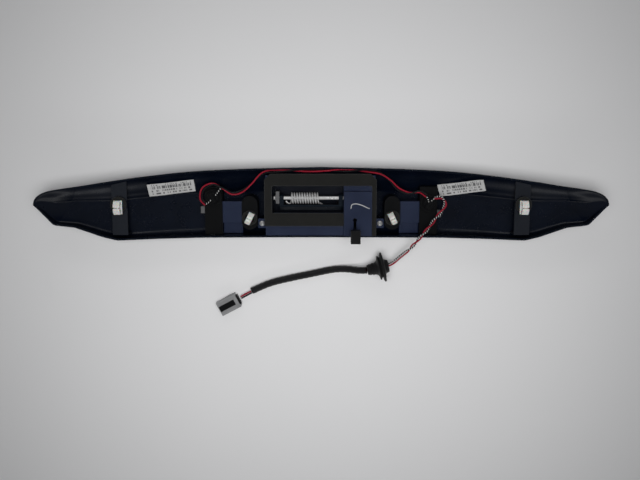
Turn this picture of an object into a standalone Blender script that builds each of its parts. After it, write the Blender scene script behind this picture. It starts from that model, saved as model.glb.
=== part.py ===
"""Tailgate garnish with a pull handle, two number-plate lamps and their harness.

The garnish lies outer face down: X runs along it, Y is up on the vehicle and Z points into the car.
The origin is under the middle of the object, on the surface that it lies on. Units are metres.
"""

import math

import bmesh
import bpy
import numpy as np
from mathutils import Matrix, Vector

COLLECTION = "tailgate_garnish"

# Garnish shell
WIDTH = 0.960
HALF = WIDTH / 2
TOP_REACH = 0.0623
BOTTOM_REACH = 0.0577
RIM_HEIGHT = 0.046
RIM_RISE = 0.026
WALL = 0.003
FACE_LIFT = 0.060
FLAT_HALF = 0.110
CREASE = 0.887
CREASE_SWEEP = 0.75
CREASE_LOSS = 0.55
TIP_CLOSE = 0.012
# Outline, as shares of the half width and of the reach above and below the middle
TOP_EDGE = (
    (0, 1),
    (0.283, 0.947),
    (0.452, 0.884),
    (0.625, 0.746),
    (0.721, 0.647),
    (0.833, 0.514),
    (0.944, 0.384),
    (0.981, 0.249),
    (1, 0.176),
)
BOTTOM_EDGE = (
    (0, 1),
    (0.43, 1),
    (0.57, 1.022),
    (0.719, 1.064),
    (0.771, 0.95),
    (0.817, 0.806),
    (0.863, 0.666),
    (0.935, 0.586),
    (0.983, 0.139),
    (1, -0.017),
)
# Section, as shares of the height across (1 at the top rim) and of the trough's depth
SECTION = (
    (1, 0),
    (1, 0.1),
    (0.935, 0.36),
    (0.815, 0.62),
    (0.71, 0.85),
    (0.6, 1),
    (0.13, 1),
    (0.05, 0.93),
    (0.012, 0.78),
    (0, 0.55),
    (0, 0),
)

# Clearance between pieces that touch
GAP = 0.0003
SEAT_GAP = 0.0005

# Handle housing
HOUSING_LEFT = -0.094
HOUSING_RIGHT = 0.092
HOUSING_TOP_Y = 0.048
HOUSING_BOTTOM_Y = -0.0545
HOUSING_HEIGHT = RIM_HEIGHT + 0.001
HOUSING_WALL = 0.003
CHAMBER_FLOOR = WALL + SEAT_GAP + HOUSING_WALL
CHAMBER_BOTTOM_Y = -0.026
CHAMBER_TOP_Y = 0.012
WINDOW_LEFT = -0.083
WINDOW_RIGHT = 0.0385
WINDOW_TOP_Y = 0.0305
WINDOW_BOTTOM_Y = -0.0154
RECESS_HALF = 0.052
RECESS_X = -0.020
RECESS_HEIGHT = 0.027
TOWER_LEFT = 0.039
TOWER_RIGHT = 0.086
TOWER_TOP_Y = 0.021
TOWER_HEIGHT = RIM_HEIGHT + 0.010
SLOT_X = 0.0575
SLOT_WIDTH = 0.0045
SLOT_TOP_Y = -0.027
SLOT_BOTTOM_Y = -0.046
HOOK_WIRE = 0.0008
HOOK_LEFT = 0.0506
HOOK_RIGHT = 0.0816
HOOK_FOOT_Y = -0.007

# Gasket round the housing
GASKET_LEFT = HOUSING_LEFT - 0.002
GASKET_RIGHT = HOUSING_RIGHT + 0.002
GASKET_TOP_Y = HOUSING_TOP_Y + 0.003
GASKET_BAND_Y = -0.038
GASKET_CHAMFER = 0.010
GASKET_THICK = 0.005

# Handle mechanism
PIN_Y = 0.0086
PIN_Z = RIM_HEIGHT - 0.012
PIN_RADIUS = 0.003
PIN_LEFT = -0.081
PIN_RIGHT = 0.068
BRACKET_LEFT = -0.077
BRACKET_RIGHT = -0.071
HUB_RADIUS = 0.0062
KNUCKLE_WIDTH = 0.007
PADDLE_LEFT = BRACKET_RIGHT + GAP
PADDLE_RIGHT = 0.0375
PADDLE_THICK = 0.003
PADDLE_Y = -0.0026
STOP_WIDTH = 0.006
RIB_X = 0.008
SPRING_LEFT = -0.052
SPRING_RIGHT = -0.004
SPRING_RADIUS = 0.0089
SPRING_WIRE = 0.0022
SPRING_TURNS = 11
LEVER_THICK = 0.003
LEVER_TIP_Y = -TOP_REACH
CAP_WIDTH = 0.016
CLIP_THICK = 0.0012

# Fixings
SCREW_X = 0.1005
SCREW_Y = -0.034
SCREW_RADIUS = 0.002
SCREW_HEAD = 0.0048
BOSS_RADIUS = 0.0055
INNER_CLIP_X = 0.1215
INNER_CLIP_Y = -0.0245
INNER_CLIP_TILT = 26
PAD_WIDTH = 0.027
PAD_TOP_Y = 0.013
PAD_BOTTOM_Y = -0.045
SEAL_RADIUS = 0.0125
SEAL_THICK = 0.004

# End brackets
END_X = 0.708 * HALF
END_WIDTH = 0.026
END_THICK = 0.0025
END_DROP = 0.003
END_CUP_Y = 0.0003
END_CUP_RADIUS = 0.0135
END_CUP_HEIGHT = 0.006
END_CLIP_Y = -0.004

# Number-plate lamps
LAMP_X = 0.184
LAMP_HALF = 0.0152
LAMP_HEIGHT = RIM_HEIGHT - 0.012
LAMP_TOP_Y = 0.028
LAMP_WALL = 0.002
LAMP_STEPS = (-0.050, 0.012, 0.018, LAMP_TOP_Y - LAMP_WALL)
SOCKET_Y = {-1: 0.010, 1: 0.000}
SOCKET_RADIUS = 0.0150
SOCKET_NECK = 0.0102
SOCKET_SINK = 0.005
LENS_WIDTH = 0.024
LENS_LOW = 0.010
LENS_HIGH = 0.022
POCKET_LEFT = 0.134
POCKET_TOP_Y = 0.003
POCKET_STEP_Y = -0.034
POCKET_HEIGHT = RIM_HEIGHT - 0.010
POCKET_LOW_HEIGHT = RIM_HEIGHT - 0.024

# Labels
LABEL_LONG = 0.079
LABEL_WIDE = 0.027
LABEL_THICK = 0.0004
LABEL_LIFT = 0.0030
LABEL_Y = 0.0275
LABEL_SHIFT = {-1: 0.0, 1: -0.015}
LABEL_TILT = {-1: 8, 1: 11}

# Harness
WIRE_RADIUS = 0.0014
SLEEVE_RADIUS = 0.0063
GROMMET_CENTRE = (0.108, -0.113, 0.0264)
GROMMET_AXIS = (-0.978, -0.21, 0)
GROMMET_RADIUS = 0.026
GROMMET_BORE = 0.0067
CONNECTOR_LONG = 0.037
CONNECTOR_WIDE = 0.026
CONNECTOR_THICK = 0.015
CONNECTOR_CENTRE = (-0.164, -0.184)
CONNECTOR_TURN = 208
CONNECTOR_PITCH = 0.006


# ---------------------------------------------------------------- scene and materials

for item in list(bpy.data.objects):
    bpy.data.objects.remove(item, do_unlink=True)

parts = bpy.data.collections.new(COLLECTION)
cutters = bpy.data.collections.new("cutters")
bpy.context.scene.collection.children.link(parts)
bpy.context.scene.collection.children.link(cutters)


def set_material(item, colour, roughness, metallic=0.0):
    """Gives an object a Principled material of its own."""
    made = bpy.data.materials.new(item.name + "_finish")
    made.use_nodes = True
    shader = made.node_tree.nodes["Principled BSDF"]
    shader.inputs["Base Color"].default_value = (*colour, 1)
    shader.inputs["Roughness"].default_value = roughness
    shader.inputs["Metallic"].default_value = metallic
    item.data.materials.clear()
    item.data.materials.append(made)


PAINT = ((0.010, 0.014, 0.040), 0.25, 0.3)
DARK_PLASTIC = ((0.012, 0.012, 0.014), 0.5, 0.0)
FOAM = ((0.035, 0.035, 0.030), 0.95, 0.0)
RUBBER = ((0.014, 0.014, 0.014), 0.8, 0.0)
STEEL = ((0.75, 0.75, 0.76), 0.25, 1.0)
WHITE_NYLON = ((0.85, 0.85, 0.82), 0.45, 0.0)
GREY_PLASTIC = ((0.20, 0.20, 0.21), 0.5, 0.0)
CLEAR = ((0.80, 0.82, 0.84), 0.08, 0.0)
PAPER = ((0.80, 0.80, 0.78), 0.8, 0.0)
RED_WIRE = ((0.45, 0.015, 0.03), 0.4, 0.0)
BLACK_WIRE = ((0.015, 0.015, 0.017), 0.4, 0.0)


# ---------------------------------------------------------------- building blocks

def add_object(name, data, collection=parts):
    made = bpy.data.objects.new(name, data)
    collection.objects.link(made)
    return made


def hide_cutter(item):
    item.hide_render = True
    item.display_type = "WIRE"
    return item


def mesh_object(name, shape, collection=parts):
    """An object from a bmesh whose faces are turned outward."""
    bmesh.ops.recalc_face_normals(shape, faces=shape.faces)
    data = bpy.data.meshes.new(name)
    shape.to_mesh(data)
    shape.free()
    return add_object(name, data, collection)


def box(name, low, high, collection=parts):
    shape = bmesh.new()
    bmesh.ops.create_cube(shape, size=1)
    size = Vector(high) - Vector(low)
    bmesh.ops.scale(shape, vec=size, verts=shape.verts)
    bmesh.ops.translate(shape, vec=(Vector(high) + Vector(low)) / 2, verts=shape.verts)
    return mesh_object(name, shape, collection)


def cylinder(name, radius, start, end, sides=24, collection=parts):
    """A cylinder between two points."""
    axis = Vector(end) - Vector(start)
    shape = bmesh.new()
    size = {"segments": sides, "radius1": radius, "radius2": radius, "depth": axis.length}
    bmesh.ops.create_cone(shape, cap_ends=True, **size)
    turn = axis.to_track_quat("Z", "Y").to_matrix().to_4x4()
    place = Matrix.Translation((Vector(end) + Vector(start)) / 2) @ turn
    bmesh.ops.transform(shape, matrix=place, verts=shape.verts)
    return mesh_object(name, shape, collection)


def turned(name, profile, centre, axis=(0, 0, 1), sides=32, collection=parts):
    """A profile of (radius, height) turned about an axis through centre."""
    shape = bmesh.new()
    points = [shape.verts.new((radius, 0, height)) for radius, height in profile]
    for first, second in zip(points, points[1:]):
        shape.edges.new((first, second))
    data = bpy.data.meshes.new(name)
    shape.to_mesh(data)
    shape.free()
    made = add_object(name, data, collection)
    made.location = centre
    made.rotation_mode = "QUATERNION"
    made.rotation_quaternion = Vector(axis).to_track_quat("Z", "Y")
    screw = made.modifiers.new("turn", "SCREW")
    screw.steps = sides
    screw.render_steps = sides
    screw.use_merge_vertices = True
    screw.merge_threshold = 0.00001
    return made


def evaluated_mesh(item, name):
    bpy.context.view_layer.update()
    graph = bpy.context.evaluated_depsgraph_get()
    data = bpy.data.meshes.new_from_object(item.evaluated_get(graph))
    data.name = name
    return data


def as_mesh(item):
    """Turns a curve, or an object with modifiers, into a plain mesh object with welded caps."""
    name = item.name
    home = item.users_collection[0]
    data = evaluated_mesh(item, name)
    data.transform(item.matrix_world)
    bpy.data.objects.remove(item, do_unlink=True)
    shape = bmesh.new()
    shape.from_mesh(data)
    bmesh.ops.remove_doubles(shape, verts=shape.verts, dist=0.00001)
    shape.to_mesh(data)
    shape.free()
    return add_object(name, data, home)


# Places a flat outline's own X and Y along the world's Y and Z, and its thickness along X.
SIDE_ON = Matrix(((0, 0, 1, 0), (1, 0, 0, 0), (0, 1, 0, 0), (0, 0, 0, 1)))


def plate(name, outlines, low, high, side_on=False, collection=parts):
    """A flat outline, with any holes, made solid from low to high along Z, or along X if side_on."""
    curve = bpy.data.curves.new(name, "CURVE")
    curve.dimensions = "2D"
    curve.fill_mode = "BOTH"
    curve.extrude = (high - low) / 2
    for outline in outlines:
        spline = curve.splines.new("POLY")
        spline.points.add(len(outline) - 1)
        for point, (across, up) in zip(spline.points, outline):
            point.co = (across, up, 0, 1)
        spline.use_cyclic_u = True
    made = add_object(name, curve, collection)
    lift = Matrix.Translation((0, 0, (high + low) / 2))
    made.matrix_world = SIDE_ON @ lift if side_on else lift
    return as_mesh(made)


def arc(centre, radius, start, end, steps):
    """Points along an arc, in degrees."""
    angles = np.radians(np.linspace(start, end, steps + 1))
    return [(centre[0] + radius * math.cos(a), centre[1] + radius * math.sin(a)) for a in angles]


def stadium(centre, width, length, steps=8):
    """An upright oval with straight sides."""
    radius = width / 2
    reach = length / 2 - radius
    top = arc((centre[0], centre[1] + reach), radius, 0, 180, steps)
    return top + arc((centre[0], centre[1] - reach), radius, 180, 360, steps)


def smooth_route(points, spacing):
    """Points at an even spacing along a smooth curve through the route's own points."""
    route = [Vector(p) for p in points]
    ends = [2 * route[0] - route[1]] + route + [2 * route[-1] - route[-2]]
    fine = []
    for before, start, end, after in zip(ends, ends[1:], ends[2:], ends[3:]):
        for step in range(20):
            t = step / 20
            bend = (2 * before - 5 * start + 4 * end - after) * t ** 2
            twist = (3 * start - before - 3 * end + after) * t ** 3
            fine.append(start + ((end - before) * t + bend + twist) / 2)
    fine.append(route[-1])
    lengths = [0.0]
    for first, second in zip(fine, fine[1:]):
        lengths.append(lengths[-1] + (second - first).length)
    count = max(2, round(lengths[-1] / spacing) + 1)
    wanted = np.linspace(0, lengths[-1], count)
    return [Vector([np.interp(s, lengths, [p[i] for p in fine]) for i in range(3)]) for s in wanted]


def tube(name, points, radius, resolution=2, collection=parts):
    """A round wire or hose along a list of points."""
    curve = bpy.data.curves.new(name, "CURVE")
    curve.dimensions = "3D"
    curve.bevel_depth = radius
    curve.bevel_resolution = resolution
    curve.use_fill_caps = True
    spline = curve.splines.new("POLY")
    spline.points.add(len(points) - 1)
    for point, place in zip(spline.points, points):
        point.co = (*place, 1)
    return add_object(name, curve, collection)


def boolean(target, tool, operation):
    """Applies a Boolean at once and removes the tool."""
    change = target.modifiers.new(operation.lower(), "BOOLEAN")
    change.operation = operation
    change.object = tool
    data = evaluated_mesh(target, target.name)
    target.modifiers.remove(change)
    target.data = data
    bpy.data.objects.remove(tool, do_unlink=True)


def cut(target, *tools):
    for tool in tools:
        boolean(target, tool, "DIFFERENCE")


def join(target, *tools):
    for tool in tools:
        boolean(target, tool, "UNION")


def cut_box(target, low, high):
    cut(target, hide_cutter(box("cutter", low, high, cutters)))


def cut_cylinder(target, radius, start, end, sides=24):
    cut(target, hide_cutter(cylinder("cutter", radius, start, end, sides, cutters)))


def finish(item, look):
    """Rounds the shading of a piece and gives it its material."""
    if item.type == "MESH":
        item.data.shade_smooth()
        item.data.set_sharp_from_angle(angle=math.radians(35))
    set_material(item, *look)
    return item


# ---------------------------------------------------------------- garnish shell

def edge_y(x, outline, reach):
    stations = [share * HALF for share, _ in outline]
    return float(np.interp(abs(x), stations, [share * reach for _, share in outline]))


def rim_z(x):
    return RIM_HEIGHT + RIM_RISE * (abs(x) / HALF) ** 2


def depth(x, y):
    """How far the outer face lies below the rim."""
    along = abs(x) + CREASE_SWEEP * y * (abs(x) / HALF) ** 2
    climb = max(0.0, along - FLAT_HALF) / (HALF - FLAT_HALF)
    past_crease = max(0.0, along / HALF - CREASE) / (1 - CREASE)
    tip = min(1.0, math.sqrt(max(0.0, HALF - abs(x)) / TIP_CLOSE))
    full = rim_z(x) if climb == 0 else rim_z(x) - FACE_LIFT * climb ** 1.5
    return full * (1 - CREASE_LOSS * min(1.0, past_crease)) * tip


def section(x):
    """The outer face's section at x, as (y, z) from the top rim to the bottom rim."""
    top = edge_y(x, TOP_EDGE, TOP_REACH)
    bottom = -edge_y(x, BOTTOM_EDGE, BOTTOM_REACH)
    points = []
    for across, down in SECTION:
        y = bottom + (top - bottom) * across
        points.append((y, rim_z(x) - down * depth(x, y)))
    return points


def inset(points, distance):
    """A section moved inward, square to its own faces."""
    moved = []
    for index, point in enumerate(points):
        before = Vector(point) - Vector(points[max(0, index - 1)])
        after = Vector(points[min(len(points) - 1, index + 1)]) - Vector(point)
        before = before if before.length > 0 else after
        after = after if after.length > 0 else before
        normals = [Vector((edge.y, -edge.x)).normalized() for edge in (before, after)]
        mitre = (normals[0] + normals[1]).normalized()
        moved.append(Vector(point) + mitre * distance / max(0.5, mitre.dot(normals[0])))
    return moved


def floor_z(x, y):
    """The height of the shell's inner face at a point."""
    lower = inset(section(x), WALL)[1:-1]
    ordered = sorted((p[0], p[1]) for p in lower)
    return float(np.interp(y, [p[0] for p in ordered], [p[1] for p in ordered]))


def stations():
    marks = {share * HALF for share, _ in TOP_EDGE + BOTTOM_EDGE}
    marks |= {FLAT_HALF, FLAT_HALF / 2, HALF - TIP_CLOSE / 3}
    return sorted(marks | {FLAT_HALF + (HALF - FLAT_HALF) * share for share in (0.13, 0.4)})


def loft(name, rows, closed, collection=parts):
    """A surface through rows of points; closed joins each row's ends and caps the first and last."""
    shape = bmesh.new()
    lines = [[shape.verts.new(point) for point in row] for row in rows]
    for row, following in zip(lines, lines[1:]):
        count = len(row) if closed else len(row) - 1
        for i in range(count):
            j = (i + 1) % len(row)
            shape.faces.new((row[i], row[j], following[j], following[i]))
    if closed:
        shape.faces.new(lines[0])
        shape.faces.new(lines[-1])
    return mesh_object(name, shape, collection)


def trough_space():
    """The space inside the shell, which the pieces that sit in it are cut to."""
    rows = []
    marks = [x for x in stations() if x < HALF - 2 * TIP_CLOSE]
    for x in [-x for x in reversed(marks[1:])] + marks:
        inner = inset(section(x), WALL + SEAT_GAP)
        lid = [(inner[-1][0], inner[-1][1] + 0.1), (inner[0][0], inner[0][1] + 0.1)]
        rows.append([(x, p[0], p[1]) for p in inner + [Vector(p) for p in lid]])
    return hide_cutter(loft("trough_space", rows, True, cutters))


def keep_in_trough(item):
    boolean(item, trough_space(), "INTERSECT")


def garnish_panel():
    rows = [[(x, y, z) for y, z in section(x)] for x in stations()]
    half = loft("garnish_panel", rows, False)
    mirror = half.modifiers.new("other half", "MIRROR")
    mirror.merge_threshold = 0.0001
    solid = half.modifiers.new("wall", "SOLIDIFY")
    solid.thickness = WALL
    solid.offset = -1
    solid.use_even_offset = True
    panel = as_mesh(half)
    for side in (-1, 1):
        low = floor_z(SCREW_X, SCREW_Y) - WALL / 2
        top = HOUSING_HEIGHT - 0.0075
        ends = ((side * SCREW_X, SCREW_Y, low), (side * SCREW_X, SCREW_Y, top))
        join(panel, cylinder("boss", BOSS_RADIUS, *ends))
        bore = (side * SCREW_X, SCREW_Y, top - 0.012)
        cut_cylinder(panel, SCREW_RADIUS + GAP, bore, (side * SCREW_X, SCREW_Y, top + 0.01), 16)
        lens = side * LAMP_X
        low_corner = (lens - LENS_WIDTH / 2, -0.08, lens_base() + LENS_LOW)
        cut_box(panel, low_corner, (lens + LENS_WIDTH / 2, -0.045, lens_base() + LENS_HIGH))
    cut_box(panel, (RECESS_X - RECESS_HALF, -0.08, 0.008), (RECESS_X + RECESS_HALF, -0.045, RECESS_HEIGHT))
    return finish(panel, PAINT)


# ---------------------------------------------------------------- handle housing and gasket

def handle_housing():
    corner = (HOUSING_RIGHT, HOUSING_TOP_Y, HOUSING_HEIGHT)
    housing = box("handle_housing", (HOUSING_LEFT, HOUSING_BOTTOM_Y, 0.001), corner)
    corner = (TOWER_RIGHT, TOWER_TOP_Y, TOWER_HEIGHT)
    join(housing, box("tower", (TOWER_LEFT, HOUSING_BOTTOM_Y, 0.02), corner))
    keep_in_trough(housing)
    for side, inner in ((-1, HOUSING_LEFT), (1, HOUSING_RIGHT)):
        edge = side * (SCREW_X + 0.0065)
        ends = sorted((inner - side * 0.002, edge))
        ear_low = (ends[0], SCREW_Y - 0.008, HOUSING_HEIGHT - 0.007)
        join(housing, box("ear", ear_low, (ends[1], SCREW_Y + 0.008, HOUSING_HEIGHT - 0.004)))
        ends = [(side * SCREW_X, SCREW_Y, HOUSING_HEIGHT + reach) for reach in (-0.02, 0.01)]
        cut_cylinder(housing, SCREW_RADIUS + GAP, *ends, 16)
    top = HOUSING_HEIGHT + 0.02
    roof = HOUSING_HEIGHT - HOUSING_WALL
    window_low = (WINDOW_LEFT, WINDOW_BOTTOM_Y, CHAMBER_FLOOR + 0.01)
    cut_box(housing, window_low, (WINDOW_RIGHT, WINDOW_TOP_Y, top))
    cut_box(housing, (WINDOW_LEFT, CHAMBER_BOTTOM_Y, CHAMBER_FLOOR), (WINDOW_RIGHT, CHAMBER_TOP_Y, roof))
    shelf = RECESS_HEIGHT + HOUSING_WALL
    cut_box(housing, (WINDOW_LEFT, HOUSING_BOTTOM_Y + HOUSING_WALL, shelf), (WINDOW_RIGHT, -0.02, roof))
    recess_low = (RECESS_X - RECESS_HALF, -0.08, CHAMBER_FLOOR)
    cut_box(housing, recess_low, (RECESS_X + RECESS_HALF, -0.02, RECESS_HEIGHT))
    wall = HOUSING_WALL
    tower_low = (WINDOW_RIGHT + wall + 0.001, HOUSING_BOTTOM_Y + wall, CHAMBER_FLOOR + 0.006)
    cut_box(housing, tower_low, (TOWER_RIGHT - wall, TOWER_TOP_Y - wall, TOWER_HEIGHT - wall))
    bore = (TOWER_LEFT - 0.01, PIN_Y, PIN_Z)
    cut_cylinder(housing, PIN_RADIUS + GAP, bore, (TOWER_LEFT + 0.02, PIN_Y, PIN_Z))
    slot = stadium((SLOT_X, (SLOT_TOP_Y + SLOT_BOTTOM_Y) / 2), SLOT_WIDTH, SLOT_TOP_Y - SLOT_BOTTOM_Y, 4)
    heights = (TOWER_HEIGHT - 0.01, TOWER_HEIGHT + 0.01)
    cut(housing, hide_cutter(plate("slot", [slot], *heights, False, cutters)))
    eye = (SLOT_X, SLOT_TOP_Y, TOWER_HEIGHT - 0.01)
    cut_cylinder(housing, 0.0035, eye, (SLOT_X, SLOT_TOP_Y, TOWER_HEIGHT + 0.01), 16)
    for x in (HOOK_LEFT, HOOK_RIGHT):
        foot = (x, HOOK_FOOT_Y, TOWER_HEIGHT - 0.01)
        cut_cylinder(housing, HOOK_WIRE + GAP, foot, (x, HOOK_FOOT_Y, TOWER_HEIGHT + 0.01), 12)
    return finish(housing, PAINT)


def housing_gasket():
    left, right, top = GASKET_LEFT, GASKET_RIGHT, GASKET_TOP_Y
    cut_corner = GASKET_CHAMFER
    inner_right = TOWER_RIGHT + SEAT_GAP
    inner_left = TOWER_LEFT - SEAT_GAP
    outline = [(left, GASKET_BAND_Y), (left, top - cut_corner), (left + cut_corner, top)]
    outline += [(right - cut_corner, top), (right, top - cut_corner)]
    outline += [(right, HOUSING_BOTTOM_Y), (inner_right, HOUSING_BOTTOM_Y)]
    outline += [(inner_right, WINDOW_TOP_Y), (WINDOW_LEFT, WINDOW_TOP_Y), (WINDOW_LEFT, WINDOW_BOTTOM_Y)]
    outline += [(inner_left, WINDOW_BOTTOM_Y), (inner_left, GASKET_BAND_Y)]
    base = HOUSING_HEIGHT + GAP
    return finish(plate("housing_gasket", [outline], base, base + GASKET_THICK), FOAM)


def pivot_bracket():
    """The plate that carries the left end of the shaft."""
    foot = CHAMBER_FLOOR + GAP
    y_low, y_high = PIN_Y - 0.009, CHAMBER_TOP_Y - GAP
    top = PIN_Z + 0.008
    outline = [(y_low, foot), (y_high, foot), (y_high, 0.02), (PIN_Y + 0.012, 0.022)]
    outline += [(PIN_Y + 0.012, top), (y_low, top)]
    bracket = plate("pivot_bracket", [outline], BRACKET_LEFT, BRACKET_RIGHT, True)
    bore = ((BRACKET_LEFT - 0.01, PIN_Y, PIN_Z), (BRACKET_RIGHT + 0.01, PIN_Y, PIN_Z))
    cut_cylinder(bracket, PIN_RADIUS + GAP, *bore)
    return finish(bracket, GREY_PLASTIC)


# ---------------------------------------------------------------- handle mechanism

def handle_paddle():
    """A plate that hangs from two knuckles on the shaft and ends in a finger lip."""
    z = PIN_Z
    back_y = PADDLE_Y - PADDLE_THICK
    front = [(PADDLE_Y, z + 0.006), (PADDLE_Y, z - 0.004), (PADDLE_Y - 0.0029, z - 0.012)]
    lip = [(PADDLE_Y - 0.0094, z - 0.018), (PADDLE_Y - 0.0114, z - 0.0156)]
    back = [(back_y - 0.0028, z - 0.0104), (back_y, z - 0.003), (back_y, z + 0.006)]
    paddle = plate("handle_paddle", [front + lip + back], PADDLE_LEFT, PADDLE_RIGHT, True)
    for low in (PADDLE_LEFT, PADDLE_RIGHT - KNUCKLE_WIDTH):
        high = low + KNUCKLE_WIDTH
        half = HUB_RADIUS - 0.001
        join(paddle, box("web", (low, back_y + 0.001, z - half), (high, PIN_Y, z + half)))
        join(paddle, cylinder("hub", HUB_RADIUS, (low, PIN_Y, z), (high, PIN_Y, z)))
    rib = [(PADDLE_Y - 0.001, z + 0.005), (PADDLE_Y - 0.0094, z - 0.015), (PADDLE_Y - 0.001, z - 0.006)]
    join(paddle, plate("rib", [rib], RIB_X - 0.0015, RIB_X + 0.0015, True))
    cut_cylinder(paddle, PIN_RADIUS + GAP, (PADDLE_LEFT - 0.01, PIN_Y, z), (PADDLE_RIGHT + 0.01, PIN_Y, z))
    return finish(paddle, DARK_PLASTIC)


def paddle_stop(name, x):
    """A rubber block behind the paddle that it rests against."""
    low = (x - STOP_WIDTH / 2, PADDLE_Y - 0.0024, CHAMBER_FLOOR + GAP)
    high = (x + STOP_WIDTH / 2, PADDLE_Y + 0.004, PIN_Z - 0.0125)
    return finish(box(name, low, high), RUBBER)


def handle_shaft():
    ends = ((PIN_LEFT, PIN_Y, PIN_Z), (PIN_RIGHT, PIN_Y, PIN_Z))
    return finish(cylinder("handle_shaft", PIN_RADIUS, *ends), STEEL)


def shaft_clip(name, x):
    """A spring clip that snaps round the shaft's end from one side."""
    outer = arc((PIN_Y, PIN_Z), PIN_RADIUS + 0.0025, 60, 390, 16)
    inner = arc((PIN_Y, PIN_Z), PIN_RADIUS + GAP, 390, 60, 16)
    return finish(plate(name, [outer + inner], x, x + CLIP_THICK, True), STEEL)


def return_spring():
    """A torsion spring with one arm turned up at the left and one that rests on the paddle."""
    side = PIN_Y - SPRING_RADIUS
    points = [(SPRING_LEFT - 0.0075, side + 0.005, PIN_Z + 0.0095)]
    points.append((SPRING_LEFT - 0.003, side, PIN_Z + 0.007))
    steps = 10
    for step in range(SPRING_TURNS * steps + 1):
        angle = math.pi + step / steps * 2 * math.pi
        x = SPRING_LEFT + (SPRING_RIGHT - SPRING_LEFT) * step / (SPRING_TURNS * steps)
        out, up = SPRING_RADIUS * math.cos(angle), SPRING_RADIUS * math.sin(angle)
        points.append((x, PIN_Y + out, PIN_Z + up))
    points.append((SPRING_RIGHT + 0.003, side, PIN_Z - 0.003))
    points.append((SPRING_RIGHT + 0.006, PADDLE_Y - 0.0003, PIN_Z - 0.0095))
    return finish(tube("return_spring", points, SPRING_WIRE / 2), STEEL)


def lever_outline(grow=0.0):
    """The bell-crank's side view, from the shaft out through the slot to its tip."""
    z = PIN_Z
    spine = [(PIN_Y - 0.004, z - 0.001), (-0.020, z - 0.004), (-0.038, z - 0.001)]
    spine += [(-0.0405, z + 0.024), (-0.0435, z + 0.045), (-0.0585, z + 0.0540)]
    half = 0.003 + grow
    tip = Vector(spine[-1])
    spine[-1] = tuple(tip + (tip - Vector(spine[-2])).normalized() * grow)
    upper, lower = [], []
    for index, point in enumerate(spine):
        before = Vector(spine[max(0, index - 1)])
        after = Vector(spine[min(len(spine) - 1, index + 1)])
        side = (after - before).normalized().orthogonal() * half
        upper.append(Vector(point) + side)
        lower.append(Vector(point) - side)
    return [tuple(p) for p in upper + lower[::-1]]


def lever_arm():
    low, high = SLOT_X - LEVER_THICK / 2, SLOT_X + LEVER_THICK / 2
    lever = plate("lever_arm", [lever_outline()], low, high, True)
    join(lever, cylinder("hub", 0.0075, (low - 0.005, PIN_Y, PIN_Z), (high + 0.005, PIN_Y, PIN_Z)))
    cut_cylinder(lever, PIN_RADIUS + GAP, (low - 0.02, PIN_Y, PIN_Z), (high + 0.02, PIN_Y, PIN_Z))
    return finish(lever, DARK_PLASTIC)


def lever_cap():
    """The black block on the lever's tip that takes the latch rod."""
    z = PIN_Z + 0.045
    low = (SLOT_X - CAP_WIDTH / 2, LEVER_TIP_Y, z - 0.004)
    cap = box("lever_cap", low, (SLOT_X + CAP_WIDTH / 2, -0.0405, z + 0.013))
    half = LEVER_THICK / 2 + GAP
    cut(cap, hide_cutter(plate("slit", [lever_outline(GAP)], SLOT_X - half, SLOT_X + half, True, cutters)))
    bore = ((SLOT_X - 0.02, -0.0575, z + 0.0005), (SLOT_X - half - 0.001, -0.0575, z + 0.0005))
    cut_cylinder(cap, 0.0022, *bore, 16)
    return finish(cap, RUBBER)


def wire_hook():
    """The bent wire keeper on top of the tower; its two feet drop into holes."""
    z = TOWER_HEIGHT + HOOK_WIRE + GAP
    route = [(HOOK_LEFT, HOOK_FOOT_Y, z - 0.005), (HOOK_LEFT, HOOK_FOOT_Y, z)]
    route += [(HOOK_LEFT + 0.0014, 0.0008, z), (HOOK_LEFT + 0.0114, 0.0008, z)]
    route += [(HOOK_RIGHT, HOOK_FOOT_Y, z), (HOOK_RIGHT, HOOK_FOOT_Y, z - 0.005)]
    return finish(tube("wire_hook", route, HOOK_WIRE), STEEL)


# ---------------------------------------------------------------- fixings

def housing_screw(name, side):
    seat = HOUSING_HEIGHT - 0.004 + GAP
    profile = [(0, 0.0028), (SCREW_HEAD * 0.6, 0.0026), (SCREW_HEAD, 0.0012), (SCREW_HEAD, 0)]
    profile += [(SCREW_RADIUS, 0), (SCREW_RADIUS, -0.012), (0, -0.0135)]
    return finish(turned(name, profile, (side * SCREW_X, SCREW_Y, seat), sides=16), STEEL)


def clip_tower(name, side):
    """The oval pedestal that holds an inner retaining clip."""
    centre = (side * INNER_CLIP_X, (PAD_TOP_Y + PAD_BOTTOM_Y) / 2)
    length = PAD_TOP_Y - PAD_BOTTOM_Y
    top = RIM_HEIGHT - 0.002
    tower = plate(name, [stadium(centre, PAD_WIDTH, length)], 0.002, top)
    keep_in_trough(tower)
    hollow = stadium(centre, PAD_WIDTH - 0.005, length - 0.005)
    cut(tower, hide_cutter(plate("hollow", [hollow], -0.001, top - 0.003, False, cutters)))
    return finish(tower, DARK_PLASTIC)


def clip_seal(name, centre, outer, inner, base, thick):
    top = base + thick
    profile = [(inner, top), (outer, top), (outer, base), (inner, base), (inner, top)]
    return finish(turned(name, profile, (centre[0], centre[1], 0)), FOAM)


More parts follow.
